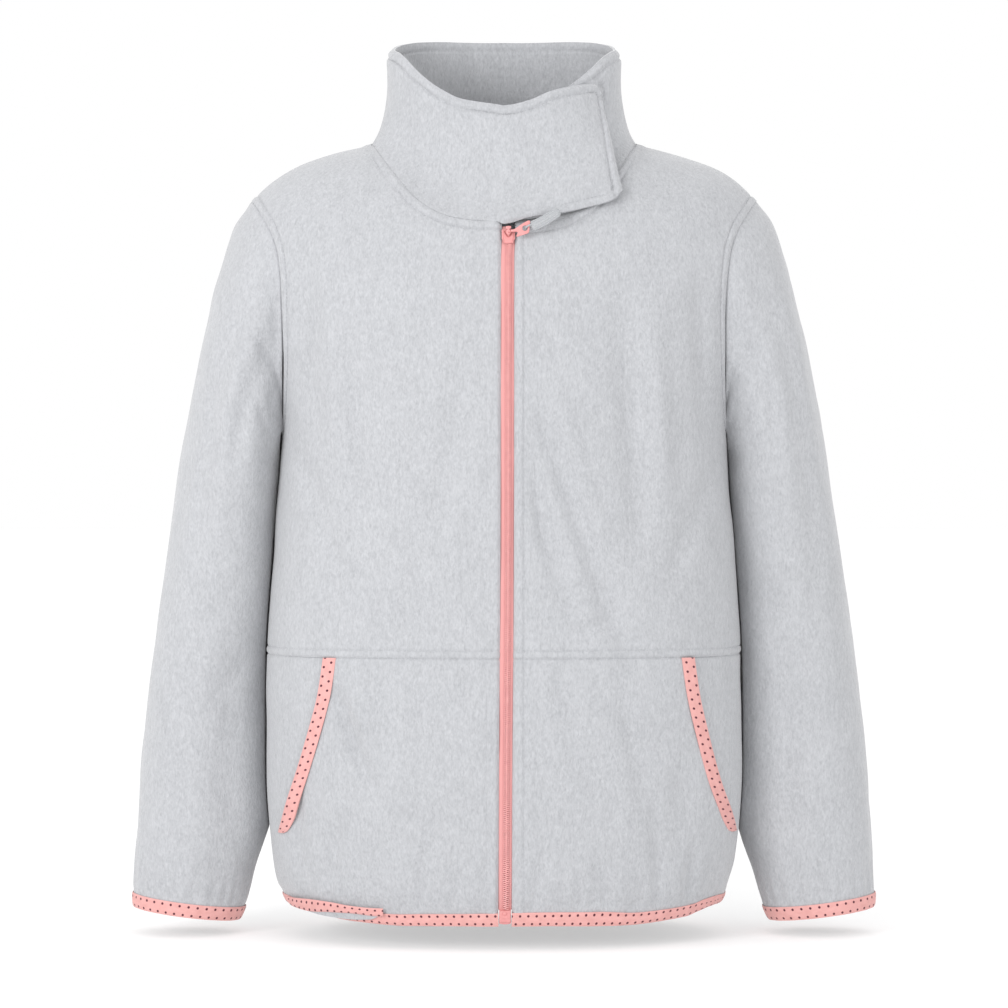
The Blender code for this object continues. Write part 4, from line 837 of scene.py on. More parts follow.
# %% Finer folds of the sleeves
SLEEVE_CREASES = {
    -1: (
        {"turn": (-2.25, -1.55), "row": (0.3, 1.5), "half_width": 0.008, "depth": 0.0018},
        {"turn": (-2.60, -2.00), "row": (0.8, 2.6), "half_width": 0.008, "depth": 0.0014},
        {"turn": (-1.45, -1.60), "row": (2.2, 5.6), "half_width": 0.010, "depth": -0.0013},
        {"turn": (-0.85, -0.60), "row": (4.0, 6.2), "half_width": 0.009, "depth": 0.0012},
        {"turn": (-2.30, -1.40), "row": (5.6, 6.8), "half_width": 0.009, "depth": 0.0012},
        {"turn": (-2.40, -1.60), "row": (6.8, 7.9), "half_width": 0.009, "depth": 0.0013},
        {"turn": (-1.30, -1.15), "row": (7.6, 9.8), "half_width": 0.009, "depth": 0.0012},
        {"turn": (2.30, 1.60), "row": (0.5, 1.8), "half_width": 0.009, "depth": 0.0016},
        {"turn": (2.30, 1.20), "row": (5.4, 6.6), "half_width": 0.010, "depth": 0.0016},
        {"turn": (1.00, 0.80), "row": (7.2, 9.4), "half_width": 0.009, "depth": 0.0012},
    ),
    1: (
        {"turn": (-2.20, -1.70), "row": (0.3, 1.8), "half_width": 0.009, "depth": 0.0018},
        {"turn": (-2.55, -1.90), "row": (1.2, 3.0), "half_width": 0.008, "depth": 0.0014},
        {"turn": (-1.20, -1.25), "row": (3.0, 6.4), "half_width": 0.011, "depth": 0.0012},
        {"turn": (-0.70, -0.80), "row": (1.8, 4.6), "half_width": 0.010, "depth": -0.0011},
        {"turn": (-2.20, -1.20), "row": (6.1, 7.0), "half_width": 0.009, "depth": 0.0013},
        {"turn": (-1.55, -1.35), "row": (7.4, 9.6), "half_width": 0.010, "depth": 0.0012},
        {"turn": (2.20, 1.50), "row": (0.6, 2.0), "half_width": 0.009, "depth": 0.0016},
        {"turn": (2.40, 1.30), "row": (5.8, 6.9), "half_width": 0.010, "depth": 0.0015},
        {"turn": (1.10, 1.00), "row": (7.0, 9.0), "half_width": 0.009, "depth": 0.0012},
    ),
}


def sleeve_push(side, turn, row):
    """Folds, gathers above the cuff and the rolled armhole edge."""
    scale = 0.056                     # metres for a row or a radian, on average
    push = uneven(turn * scale * 1.3 + side, row * scale)
    for crease in SLEEVE_CREASES[side]:
        flat = {"x": tuple(value * scale for value in crease["turn"]),
                "z": tuple(value * scale for value in crease["row"]),
                "half_width": crease["half_width"], "depth": crease["depth"]}
        push = push - fold_sum((flat,), wrap(turn) * scale, row * scale)
    near_cuff = ease(9.9, 10.9, row)
    gathers = 0.0007 * np.sin(turn * 23 + 1.3 * np.sin(turn * 5 + side)) * near_cuff
    seam = np.abs(wrap(turn - math.pi)) * scale * 0.8
    from_edge = row * 0.040
    settle = ease(0.0, 0.35, row) * (1 - ease(10.78, 10.95, row))
    end = (11.0 - row) * 0.045
    return ((push + gathers) * settle + rolled(seam, 0.0007) + rolled(from_edge)
            + rolled(end))


# %% Sleeves rest against the body
# Metres: how far the inner side moves in, stays clear of the body and moves forward.
SLEEVE_REST = {"push": 0.0068, "spread": 0.85, "clear": 0.0011, "forward": {-1: 0.0085, 1: 0.002}}


def body_side(y, z):
    """How far the body reaches sideways at a depth and a height."""
    depth = np.where(y < 0, along(BODY, "front_depth", z), along(BODY, "back_depth", z))
    part = np.minimum(np.abs(y) / depth, 1.0)
    return along(BODY, "half_width", z) * (1.0 - part ** SQUARENESS) ** (1.0 / SQUARENESS)


def rest_on_body(side, points, turn, row):
    """Moves the inner side of a hanging sleeve in until it touches the body's side."""
    near = np.exp(-(wrap(turn - math.pi) / SLEEVE_REST["spread"]) ** 2)
    near = near * ease(0.1, 0.9, row) * (1.0 - ease(8.9, 10.2, row))
    out = side * points[..., 0]
    pushed = out - SLEEVE_REST["push"] * near
    limit = body_side(points[..., 1], points[..., 2]) + SLEEVE_REST["clear"]
    limit = np.where(points[..., 2] < UNDERARM_Z, limit, pushed)
    moved = points.copy()
    ahead = np.exp(-(wrap(turn + 2.45) / 0.75) ** 2) * ease(0.5, 2.0, row)
    moved[..., 1] -= SLEEVE_REST["forward"][side] * ahead * (1.0 - ease(5.2, 7.8, row))
    moved[..., 0] = side * np.maximum(pushed, mix(pushed, limit, ease(0.0, 0.6, row)))
    return moved


TURNS, ROWS = 132, 196
for side, word in ((-1, "right"), (1, "left")):
    rows = np.linspace(0.0, 11.0, ROWS)
    rows = np.unique(np.concatenate(((0.0, 0.012, 0.03, 0.06), rows[1:-1],
                                     (10.90, 10.955, 10.98, 11.0))))
    row, turn = np.meshgrid(rows, np.arange(TURNS) * 2 * math.pi / TURNS, indexing="ij")
    place = sleeve_place(side, turn, row)
    facing = sleeve_direction(side, turn, row)
    push = sleeve_push(side, turn, row)[..., None]
    outer = rest_on_body(side, place + facing * push, turn, row)
    shift = outer - place - facing * push
    inner = place + shift + facing * (-FLEECE + 0.3 * np.minimum(push, 0.0))
    name = "sleeve_" + word + "_cloth"
    CLOTH[name] = cloth_piece(name, outer, inner, ring=True)
    print(name, "area", round(cloth_area(CLOTH[name]), 4), "m2")

# %% [markdown]
# ## Collar
#
# The collar is a double layer: its rolled top edge needs no binding. It starts under the
# chin on the wearer's left, goes round the neck and ends in a flap that laps over the zip.
# Columns of points are worked out at even angles and the flap's own curves take over from
# the ring just before the centre. Rows crowd at the top edge, 7 mm from a stitched line.

# %% Collar: ring and flap
COLLAR_WALL = 0.0042
COLLAR_TOP = {"half_width": 0.0955, "front_y": -0.085, "back_y": 0.065,
              "angle": (0, 20, 35, 45, 52, 61, 72, 82, 92, 100, 108, 116, 130, 150, 180),
              "rise": (0.0225, 0.0279, 0.0391, 0.0491, 0.0566, 0.0657, 0.0722, 0.0753, 0.0785,
                       0.0813, 0.0841, 0.0865, 0.0902, 0.0928, 0.0937)}
COLLAR_ROLL, COLLAR_FLARE, COLLAR_START = 0.0020, 4.0, 4.8
FLAP_START, FLAP_ARC, FLAP_STRAIGHT, UNDER_INSET = 356.9, 60.0, 0.065, 0.0062
FLAP_LENGTH = 0.0960         # metres that the flap's arc of angles stands for
FLAP = {
    "along":    (0.00, 0.05, 0.10, 0.30, 0.52, 0.76, 0.93, 1.00),
    "bottom_x": (-0.0058, -0.0015, 0.0030, 0.0220, 0.0440, 0.0680, 0.0865, 0.0925),
    "bottom_z": (-0.0700, -0.0748, -0.0744, -0.0692, -0.0664, -0.0612, -0.0555, -0.0490),
    "top_x":    (-0.0052, -0.0012, 0.0028, 0.0190, 0.0380, 0.0585, 0.0735, 0.0790),
    "top_z":    (0.0225, 0.0225, 0.0227, 0.0262, 0.0345, 0.0402, 0.0430, 0.0380),
    "lift":     (0.0047, 0.0047, 0.0048, 0.0054, 0.0062, 0.0068, 0.0078, 0.0085),
}


def collar_edges(angle):
    """Neck seam and top edge at an angle from the centre front, in degrees."""
    side, front = np.sin(np.radians(angle)), np.cos(np.radians(angle))
    share = np.arcsin(np.minimum(np.abs(side), 1.0)) / (math.pi / 2)
    x = NECK_HALF_WIDTH * np.sin(share * math.pi / 2)
    drop = np.where(side > 0, NECK_DROP[1], NECK_DROP[-1])
    front_z = -drop * along(NECK_CURVE, "drop", x, "out")
    back_z = neck_z("back", 1, x)
    x = np.copysign(x, side)
    base = np.where((front > 0)[..., None], body_point("front", x, front_z),
                    body_point("back", x, back_z))
    base[..., 2] += SEAM_GAP
    middle = (COLLAR_TOP["front_y"] + COLLAR_TOP["back_y"]) / 2
    reach = (COLLAR_TOP["back_y"] - COLLAR_TOP["front_y"]) / 2
    rise = along(COLLAR_TOP, "rise", np.degrees(np.arctan2(np.abs(side), front)), "angle")
    return base, np.stack((COLLAR_TOP["half_width"] * side, middle - reach * front, rise), -1)


def ring_point(angle, up):
    base, top = collar_edges(angle)
    lean = ((1.0 - up) ** COLLAR_FLARE)[..., None]
    place = mix(top, base, lean)
    place[..., 2] = mix(base[..., 2], top[..., 2], up)
    place[..., 1] -= 0.15 * FLAP["lift"][0] * lean[..., 0] * ease(FLAP_START - 5, FLAP_START, angle)
    inset = UNDER_INSET * (1.0 - ease(18.0, 75.0, angle)) * ease(0.0, 0.11, up) * (angle < 90)
    middle_y = (COLLAR_TOP["front_y"] + COLLAR_TOP["back_y"]) / 2
    inward = np.stack((-place[..., 0], middle_y - place[..., 1], 0 * up), axis=-1)
    inward /= np.linalg.norm(inward, axis=-1, keepdims=True)
    place[..., 0] *= 1.0 - 0.035 * ease(0.86, 1.0, up) * np.sin(np.radians(angle)) ** 4
    return place + inward * inset[..., None]


# %% The flap, and the step over to it
def flap_point(part, up):
    row = {key: along(FLAP, key, part, "along") for key in FLAP if key != "along"}
    foot = body_point("front", row["bottom_x"], row["bottom_z"], row["lift"])
    angle = np.degrees(np.arcsin(row["top_x"] / COLLAR_TOP["half_width"]))
    head = collar_edges(angle)[1]
    head[..., 0] = row["top_x"]
    head[..., 1] -= row["lift"] * 0.35 * ease(0.0, 0.3, part)
    head[..., 2] = row["top_z"]
    flare = mix(COLLAR_FLARE, 1.25, ease(0.0, 0.8, part))
    straight = FLAP_STRAIGHT * ease(0.0, 0.05, part) * (1.0 - ease(0.10, 0.30, part))
    lean = (1.0 - np.maximum(up - straight, 0.0) / (1.0 - straight)) ** flare
    place = mix(head, foot, lean[..., None])
    place[..., 0] = mix(foot[..., 0], head[..., 0], up)
    place[..., 2] = mix(foot[..., 2], head[..., 2], up)
    return place


def collar_place(angle, up):
    """The ring up to the flap's start; a straight step over; then the flap."""
    part = np.clip((angle - FLAP_START) / FLAP_ARC, 0.0, 1.0)
    ring = ring_point(np.minimum(angle, FLAP_START), up)
    flap = flap_point(np.maximum(part, 0.05), up)
    return mix(ring, flap, np.clip(part / 0.05, 0.0, 1.0)[..., None])


def collar_direction(angle, up):
    last = FLAP_START + FLAP_ARC
    upward = (collar_place(angle, np.minimum(up + 0.02, 1.0))
              - collar_place(angle, np.maximum(up - 0.02, 0.0)))
    onward = (collar_place(np.minimum(angle + 0.5, last), up)
              - collar_place(np.maximum(angle - 0.5, COLLAR_START), up))
    normal = np.cross(onward, upward)
    level = np.stack((onward[..., 1], -onward[..., 0], np.zeros_like(up)), axis=-1)
    normal = np.where((up == 0.0)[..., None], level, normal)
    return normal / np.linalg.norm(normal, axis=-1, keepdims=True)


print("collar is", COLLAR_WALL * 1000, "mm thick, two layers of fleece")

# %% Collar: relief and mesh
COLLAR_STITCH = 0.0074
last = FLAP_START + FLAP_ARC
ring_angles = np.concatenate(((COLLAR_START, 4.95, 5.2, 5.6, 6.2), np.arange(7.5, 356.0, 1.4)))
over_angles = (FLAP_START, 357.5, 358.2, 358.9, 359.4, FLAP_START + 3.0)
flap_angles = np.concatenate((np.arange(361.0, 409.0, 1.1),
                              last - np.array(SEAM_STEPS[:0:-1]) / FLAP_LENGTH * FLAP_ARC, (last,)))
angles = np.concatenate((ring_angles, over_angles, flap_angles))
levels = np.concatenate(((0.0, 0.010, 0.025, 0.045, 0.065, 0.085), np.linspace(0.10, 0.88, 30),
                         (0.895, 0.905, 0.915, 0.925, 0.94, 0.955, 0.97, 0.983, 0.993, 1.0)))
up, angle = np.meshgrid(levels, angles, indexing="ij")
plain = collar_place(angle, up)
facing = collar_direction(angle, up)
top_away = seam_distance(plain, plain[-1])
end_away = seam_distance(plain, plain[:, -1])
on_flap = ease(FLAP_START + 1.5, FLAP_START + 4.0, angle)
foot_away = seam_distance(plain, plain[0])
RIM_DEPTH, RIM_SOFT = 0.0012, 0.0012
rim = groove(top_away, COLLAR_STITCH, RIM_DEPTH, RIM_SOFT)
rim = rim + 0.0006 * (1 - ease(0.004, 0.0075, np.minimum(top_away, end_away)))
rim = rim + groove(end_away, COLLAR_STITCH, RIM_DEPTH, RIM_SOFT) * ease(0.004, 0.008, top_away)
rim = rim + (groove(foot_away, COLLAR_STITCH, RIM_DEPTH, RIM_SOFT) * on_flap
             * ease(0.004, 0.008, end_away))
rim = rim - COLLAR_ROLL * (1 - ease(0.0, 0.0035, np.minimum(top_away, end_away)))
rim = rim - 0.7 * COLLAR_ROLL * (1 - ease(0.0, 0.0030, foot_away)) * on_flap
soft = 1.4 * uneven(angle * 0.0017, up * 0.09) * ease(0.0, 0.012, foot_away)
push = (rim + soft)[..., None]
inside = (0.4 * COLLAR_ROLL * (1 - ease(0.0, 0.0035, np.minimum(top_away, end_away)))
          - COLLAR_WALL - groove(top_away, COLLAR_STITCH, 0.0007))[..., None]
stepping = ease(FLAP_START - 1, FLAP_START + 0.5, angle) * (1 - ease(359.0, FLAP_START + 3, angle))
stepping = (stepping * (1 - ease(0.03, 0.09, up)))[..., None]
inside = mix(inside, -0.0010, stepping)
CLOTH["collar_cloth"] = cloth_piece("collar_cloth", plain + facing * push,
                                    plain + facing * inside)
print("collar", up.shape, "area", round(cloth_area(CLOTH["collar_cloth"]), 4), "m2")

# %% [markdown]
# ## Bindings
#
# The hem, cuffs and pocket mouths are bound with a dotted bias tape: a strip folded over
# the raw edge. Seen from outside it is a low, rounded band. Its UV map has the real width
# of the tape in metres, so a procedural dot pattern prints at one size everywhere.

# %% Hem binding
BINDING = {"centre": 0.0093, "side": 0.0065, "proud": 0.0006}
TAPE_WIDTH = 0.0113          # what shows of the folded tape
LIP = (-0.004, -0.10, -0.19, -0.226)    # rows that lie over the cloth's edge


def hem_point(turn, down, out):
    """Point of the hem tape; turn goes round from the centre front, down is 0 to 1."""
    side, forward = np.sin(turn), np.cos(turn)
    across = np.copysign(np.abs(side) ** (2 / SQUARENESS), side)
    ahead = np.copysign(np.abs(forward) ** (2 / SQUARENESS), forward)
    around = np.abs(across)
    plain = hem_z(around)
    x = along(BODY, "half_width", plain) * across
    high = np.where(forward > 0, along(HEM_HANG, "top", x, "x"), 0.0008)
    low = np.where(forward > 0, along(HEM_HANG, "foot", x, "x"), 0.0)
    top = plain + np.minimum(high, 0.0) - SEAM_GAP
    foot = plain - mix(BINDING["centre"], BINDING["side"], around ** 2) + low
    lip = np.maximum(high, 0.0002) * np.clip(down / LIP[-1], 0.0, 1.0)
    z = mix(top, foot, np.maximum(down, 0.0)) + lip
    depth = np.where(forward > 0, along(BODY, "front_depth", z), along(BODY, "back_depth", z))
    width = along(BODY, "half_width", z)
    direction = np.stack((side / width, -forward / depth, 0 * z), axis=-1)
    direction /= np.linalg.norm(direction, axis=-1, keepdims=True)
    return np.stack((width * across, -depth * ahead, z), -1) + out[..., None] * direction


def hem_turn(x):
    width = float(along(BODY, "half_width", HEM_FRONT_Z))
    return math.asin((abs(x) / width) ** (SQUARENESS / 2))


def tape_grain(outer, width=TAPE_WIDTH):
    """UV of a tape: real distance along it, and its own width across."""
    length = run_length(outer[len(outer) // 2])
    across = run_length(outer[:, outer.shape[1] // 2])
    return np.stack(np.meshgrid(length, across / across[-1] * width), axis=-1)


def tape_swell(down):
    """Rounded section of a folded tape."""
    part = (down - LIP[-1]) / (1.0 - LIP[-1])
    return (1.0 - (2.0 * part - 1.0) ** 4) * 0.0007


def tape_inside(down):
    """The tape's inner face: within the wall's foot, and just over the cloth at the lip."""
    return np.where(down > 0, -FLEECE - BINDING["proud"] - 0.4 * tape_swell(down), 0.0002)


LEVELS = np.concatenate((np.linspace(1.0, 0.001, 11), LIP))
first = hem_turn(float(zip_x(HEM_FRONT_Z)) + ZIP_HALF_OPENING)
final = 2 * math.pi - hem_turn(ZIP_HALF_OPENING - float(zip_x(HEM_FRONT_Z)))
down, turn = np.meshgrid(LEVELS, np.linspace(first, final, 520), indexing="ij")
ripple = 0.00025 * np.sin(turn * 61 + 2 * np.sin(turn * 9))
outer = hem_point(turn, down, BINDING["proud"] + tape_swell(down) + ripple)
inner = hem_point(turn, down, tape_inside(down))
CLOTH["hem_tape"] = cloth_piece("hem_tape", outer, inner, grain=tape_grain(outer))
print("hem tape", round(cloth_area(CLOTH["hem_tape"]), 4), "m2")

# %% Lap of the hem tape, and the cloth's edge that peeps out below it
LAP = {
    "x":    (-0.1725, -0.168, -0.153, -0.137, -0.121, -0.103, -0.0945),
    "top":  (-0.6084, -0.6082, -0.6074, -0.6082, -0.6102, -0.6112, -0.6112),
    "foot": (-0.6128, -0.6158, -0.6175, -0.6164, -0.6162, -0.6175, -0.6178),
}
PEEP = {
    "x":    (-0.1560, -0.1450, -0.1340, -0.1210, -0.1050, -0.0990),
    "foot": (-0.6180, -0.6200, -0.6210, -0.6216, -0.6208, -0.6184),
}
LAP_OUT, PEEP_OUT, LAP_WIDTH = 0.0024, 0.0023, 0.0084
part, down = np.meshgrid(np.linspace(0, 1, 110), np.linspace(1, 0, 11))
x = mix(LAP["x"][-1], LAP["x"][0], part)
z = mix(along(LAP, "top", x, "x"), along(LAP, "foot", x, "x"), down)
outer = body_point("front", x, z, LAP_OUT + TAPE * 0.7 + (1 - (2 * down - 1) ** 4) * 0.0006)
inner = body_point("front", x, z, LAP_OUT)
CLOTH["hem_tape_lap"] = cloth_piece("hem_tape_lap", outer, inner,
                                    grain=tape_grain(outer, LAP_WIDTH))
x = mix(PEEP["x"][0], PEEP["x"][-1], part)
high = along(LAP, "foot", x, "x") + 0.0012
z = mix(high, np.minimum(along(PEEP, "foot", x, "x"), high - 0.0006), down)
PEEPING = cloth_piece("hem_cloth_edge", body_point("front", x, z, PEEP_OUT),
                      body_point("front", x, z, PEEP_OUT - 0.0006))
print("lap of the hem tape", round(cloth_area(CLOTH["hem_tape_lap"]), 5), "m2")

# %% Cuff bindings
CUFF = {"outer": (0.3030, -0.6225), "inner": (0.2170, -0.6335), "half_depth": 0.0330}
for side, word in ((-1, "right"), (1, "left")):
    down, turn = np.meshgrid(LEVELS, np.arange(150) * 2 * math.pi / 150, indexing="ij")
    start_out = np.array((SLEEVE["outer_x"][-1], 0.0, SLEEVE["outer_z"][-1]))
    start_in = np.array((SLEEVE["inner_x"][-1], 0.0, SLEEVE["inner_z"][-1]))
    end_out = np.array((CUFF["outer"][0], 0.0, CUFF["outer"][1]))
    end_in = np.array((CUFF["inner"][0], 0.0, CUFF["inner"][1]))
    high = mix(start_out, end_out, down[..., None])
    low = mix(start_in, end_in, down[..., None])
    depth = mix(SLEEVE["half_depth"][-1], CUFF["half_depth"], down)

    def cuff_wall(out):
        reach = (high - low) / 2
        long = np.linalg.norm(reach, axis=-1, keepdims=True)
        place = (high + low) / 2 + reach * (1 + out[..., None] / long) * np.cos(turn)[..., None]
        place[..., 1] += (depth + out) * np.sin(turn)
        place[..., 0] = (place[..., 0] + SEAM_GAP) * side
        return place

    ripple = 0.0002 * np.sin(turn * 14 + 2 * np.sin(turn * 3 + side))
    outer = cuff_wall(BINDING["proud"] + tape_swell(down) + ripple)
    inner = cuff_wall(tape_inside(down))
    closed = np.concatenate((outer, outer[:, :1]), axis=1)
    name = "cuff_tape_" + word
    CLOTH[name] = cloth_piece(name, outer, inner, ring=True, grain=tape_grain(closed))
    print(name, round(cloth_area(CLOTH[name]), 5), "m2")

# %% Pocket bindings
POCKET_TAPE = 0.0104
for side, word in ((-1, "right"), (1, "left")):
    up, part = np.meshgrid(np.linspace(0, 1, 90), np.linspace(0, 1, 11), indexing="ij")
    z = mix(POCKET_END_Z + 0.0008, YOKE_Z - SEAM_GAP, up)
    width = POCKET_TAPE * mix(0.45, 1.0, np.minimum(1.0, up * 11.0) ** 0.4)
    x = side * (pocket_mouth(side, z) - width * (1 - part))
    settle = np.minimum(front_relief(side, x, z), 0.0) * (1 - ease(0.92, 1.0, up))
    swell = 0.0005 * (1.0 - (2.0 * part - 1.0) ** 4)
    outer = body_point("front", x, z, SEAM_GAP + TAPE + swell)
    inner = body_point("front", x, z, 0.0003 + 0.2 * settle)
    length = run_length(outer[:, 5])
    grain = np.stack(np.meshgrid(np.linspace(0, POCKET_TAPE, 11), length[-1] - length),
                     axis=-1)[..., ::-1]
    name = "pocket_tape_" + word
    CLOTH[name] = cloth_piece(name, outer, inner, grain=grain)
    print(name, round(cloth_area(CLOTH[name]), 5), "m2")

# %% [markdown]
# ## Zip
#
# Two woven tapes lie behind the folded edges and a nylon coil joins them. The coil is a
# long spring on each side whose loops interlock. It is swept as a thin tube along a
# flattened spiral, half a turn out of step with the other side. A striped texture would
# look like it from far away, but the loops catch the light one by one.

# %% Zip tapes
COIL_REACH, ZIP_TAPE_REACH = 0.0023, 0.0126
ZIP_TOP = {"left": -0.0775, "right": -0.0749}
ZIP_FOOT = HEM_FRONT_Z + 0.0026
TAPE_SHOWN = {"right": -0.0017, "left": -0.0019}    # how far a tape lies behind the fleece's face
TAPE_BEHIND = -0.0028
for side, word in ((-1, "right"), (1, "left")):
    offsets = np.concatenate((np.linspace(0.0001, 0.0040, 7),
                              np.linspace(0.0044, 0.0062, 7), np.linspace(0.0075, ZIP_TAPE_REACH, 4)))
    z, offset = np.meshgrid(np.linspace(ZIP_FOOT, ZIP_TOP[word], 240), offsets, indexing="ij")
    behind = ease(ZIP_HALF_OPENING - 0.0007, ZIP_HALF_OPENING + 0.0008, offset)
    back = mix(TAPE_SHOWN[word], TAPE_BEHIND, behind)
    x = zip_x(z) + side * offset
    outer = body_point("front", x, z, back)
    inner = body_point("front", x, z, back - TAPE * 0.7)
    name = "zip_tape_" + word + "_weave"
    CLOTH[name] = cloth_piece(name, outer, inner)
    print(name, round(cloth_area(CLOTH[name]), 5), "m2")

# %% Coil
def swept_tube(name, route, radius, sides=6):
    """Round thread along a route of points, closed at both ends."""
    return skin(name, tube_rings(route, radius, sides), route[0], route[-1])


def tube_rings(route, radius, sides):
    forward = np.gradient(route, axis=0)
    forward /= np.linalg.norm(forward, axis=1, keepdims=True)
    guide = np.array((0.0, 0.0, 1.0)) + 0.001
    sideways = np.cross(forward, guide)
    sideways /= np.linalg.norm(sideways, axis=1, keepdims=True)
    upward = np.cross(sideways, forward)
    turn = np.arange(sides) * 2 * math.pi / sides
    radius = np.broadcast_to(radius, len(route))[:, None, None]
    rings = (route[:, None] + radius * (np.cos(turn)[None, :, None] * sideways[:, None]
                                        + np.sin(turn)[None, :, None] * upward[:, None]))
    return rings


def skin(name, rings, start, end):
    """Closed mesh round a row of rings, drawn to a point at each end."""
    count, sides = rings.shape[:2]
    points = np.concatenate((rings.reshape(-1, 3), start[None], end[None]))
    row, column = np.meshgrid(np.arange(count - 1), np.arange(sides), indexing="ij")
    onward = (column + 1) % sides
    quads = np.stack((row * sides + column, row * sides + onward, (row + 1) * sides + onward,
                      (row + 1) * sides + column), axis=-1).reshape(-1, 4)
    work = bmesh.new()
    corners = [work.verts.new(point) for point in points]
    for quad in quads:
        work.faces.new([corners[index] for index in quad])
    for ring, tip in ((0, count * sides), (count - 1, count * sides + 1)):
        for side in range(sides):
            work.faces.new((corners[ring * sides + side],
                            corners[ring * sides + (side + 1) % sides], corners[tip]))
    bmesh.ops.recalc_face_normals(work, faces=work.faces)
    mesh = bpy.data.meshes.new(name)
    work.to_mesh(mesh)
    work.free()
    mesh.shade_smooth()
    piece = bpy.data.objects.new(name, mesh)
    bpy.context.scene.collection.objects.link(piece)
    return piece


COIL_PITCH, COIL_TOP, COIL_SHIFT = 0.0016, -0.0770, 0.0007
coils = []
for side, word in ((-1, "right"), (1, "left")):
    turns = (COIL_TOP - ZIP_FOOT) / COIL_PITCH - 1
    angle = np.linspace(0.0, turns * 2 * math.pi, int(turns * 9))
    z = COIL_TOP - 0.0006 - COIL_PITCH * (angle / (2 * math.pi) + (0.5 if side > 0 else 0.0))
    reach = 0.5 - 0.5 * np.cos(angle)
    x = zip_x(z) + COIL_SHIFT + side * mix(-0.0006, COIL_REACH, reach)
    out = -0.0007 + 0.0006 * np.sin(angle)
    coils.append(swept_tube("zip_coil_" + word, body_point("front", x, z, out), 0.00042, 5))
    print("coil", word, round(turns), "loops,", len(coils[-1].data.polygons), "faces")

# %% [markdown]
# ## Slider, pull and box
#
# These small hard parts are modelled as reliefs: a grid of points follows the outline, and
# a height is worked out for each. A bevelled box would be quicker, but the notch, the
# narrow foot and the flared tab with its hole are what make a zip slider look like one.

# %% Slider body and its bridge
SLIDER_Z = -0.0825
PLATE = {
    "z":    (-0.0071, -0.0067, -0.0052, -0.0042, -0.0030, 0.0030, 0.0044, 0.0050),
    "half": (0.0030, 0.0037, 0.0040, 0.0045, 0.0053, 0.0054, 0.0050, 0.0040),
}
BRIDGE = {
    "z":    (-0.0019, -0.0008, 0.0006, 0.0017, 0.0020, 0.0023, 0.0036, 0.0040, 0.0050, 0.0060,
             0.0066, 0.0069),
    "half": (0.0003, 0.0009, 0.0017, 0.0023, 0.0018, 0.0009, 0.0009, 0.0017, 0.0021, 0.0020,
             0.0014, 0.0005),
}
MIDDLE = body_point("front", zip_x(SLIDER_Z), SLIDER_Z)
FACING = body_direction("front", zip_x(SLIDER_Z), SLIDER_Z)
UPWARD = np.array((0.0, FACING[2], -FACING[1]))


def on_slider(x, z, out):
    """Point beside, above and in front of the slider's middle."""
    return (MIDDLE + np.array((1.0, 0.0, 0.0)) * x[..., None] + UPWARD * z[..., None]
            + FACING * out[..., None])


def edge_round(part, wide):
    """0 at both ends of a run from 0 to 1, 1 inside, with a round shoulder."""
    near = np.clip(np.minimum(part, 1 - part) / wide, 0, 1)
    return np.sqrt(1 - (1 - near) ** 2)


row, column = np.meshgrid(np.linspace(0, 1, 48), np.linspace(0, 1, 40), indexing="ij")
z = mix(PLATE["z"][0], PLATE["z"][-1], row)
x = (2 * column - 1) * along(PLATE, "half", z, "z")
height = 0.0009 + 0.0012 * edge_round(row, 0.12) * edge_round(column, 0.14)
height = height - 0.0005 * np.exp(-((np.abs(2 * column - 1) - 0.74) / 0.05) ** 2)
away = np.abs(np.abs(x) - 0.0027 * np.clip((z + 0.0021) / 0.0040, 0, 1))
height = height - 0.0013 * np.exp(-(away / 0.0005) ** 2) * ease(-0.0024, -0.0016, z) * (z < 0.0030)
HARD = {"slider_body": cloth_piece("slider_body", on_slider(x, z, height),
                                   on_slider(x, z, 0 * x + 0.0002))}
row, column = np.meshgrid(np.linspace(0, 1, 60), np.linspace(0, 1, 15), indexing="ij")
z = mix(BRIDGE["z"][0], BRIDGE["z"][-1], row)
x = (2 * column - 1) * along(BRIDGE, "half", z, "z")
arch = 0.0018 + 0.0036 * np.clip(np.minimum(row / 0.16, (1 - row) / 0.14), 0, 1) ** 0.5
HARD["slider_bridge"] = cloth_piece(
    "slider_bridge", on_slider(x, z, arch - 0.0004 * (2 * column - 1) ** 2),
    on_slider(x, z, arch - 0.0010))
print("slider", len(HARD["slider_body"].data.polygons), "faces")

# %% Pull tab with its eye, on the bridge's axis
HINGE = frame["joints"][0]["pos_m"]
PULL_LEAN = math.radians(-4.5)
TAB = ((1.5, 2.2), (5.4, 2.4), (7.0, 2.2), (7.4, 1.2), (6.6, 0.2), (6.1, -1.9), (9.5, -0.9),
       (15.1, 0.8), (16.4, 2.0), (16.6, 6.0), (17.3, 10.2), (16.3, 11.4), (11.5, 9.0),
       (6.5, 5.6), (4.5, 4.2), (1.5, 3.6))
TAB_HOLE, TAB_HOLE_RADIUS = (0.0130, 0.0050), 0.0021


def on_pull(across, ahead, up):
    """Point in the pull's own frame: along the tab, in front of it and above the axis."""
    turn, lean = math.cos(PULL_LEAN), math.sin(PULL_LEAN)
    across, ahead, up = np.broadcast_arrays(across, ahead, up)
    return np.stack((HINGE[0] + across * turn + ahead * lean,
                     HINGE[1] + across * lean - ahead * turn, HINGE[2] + up), axis=-1)


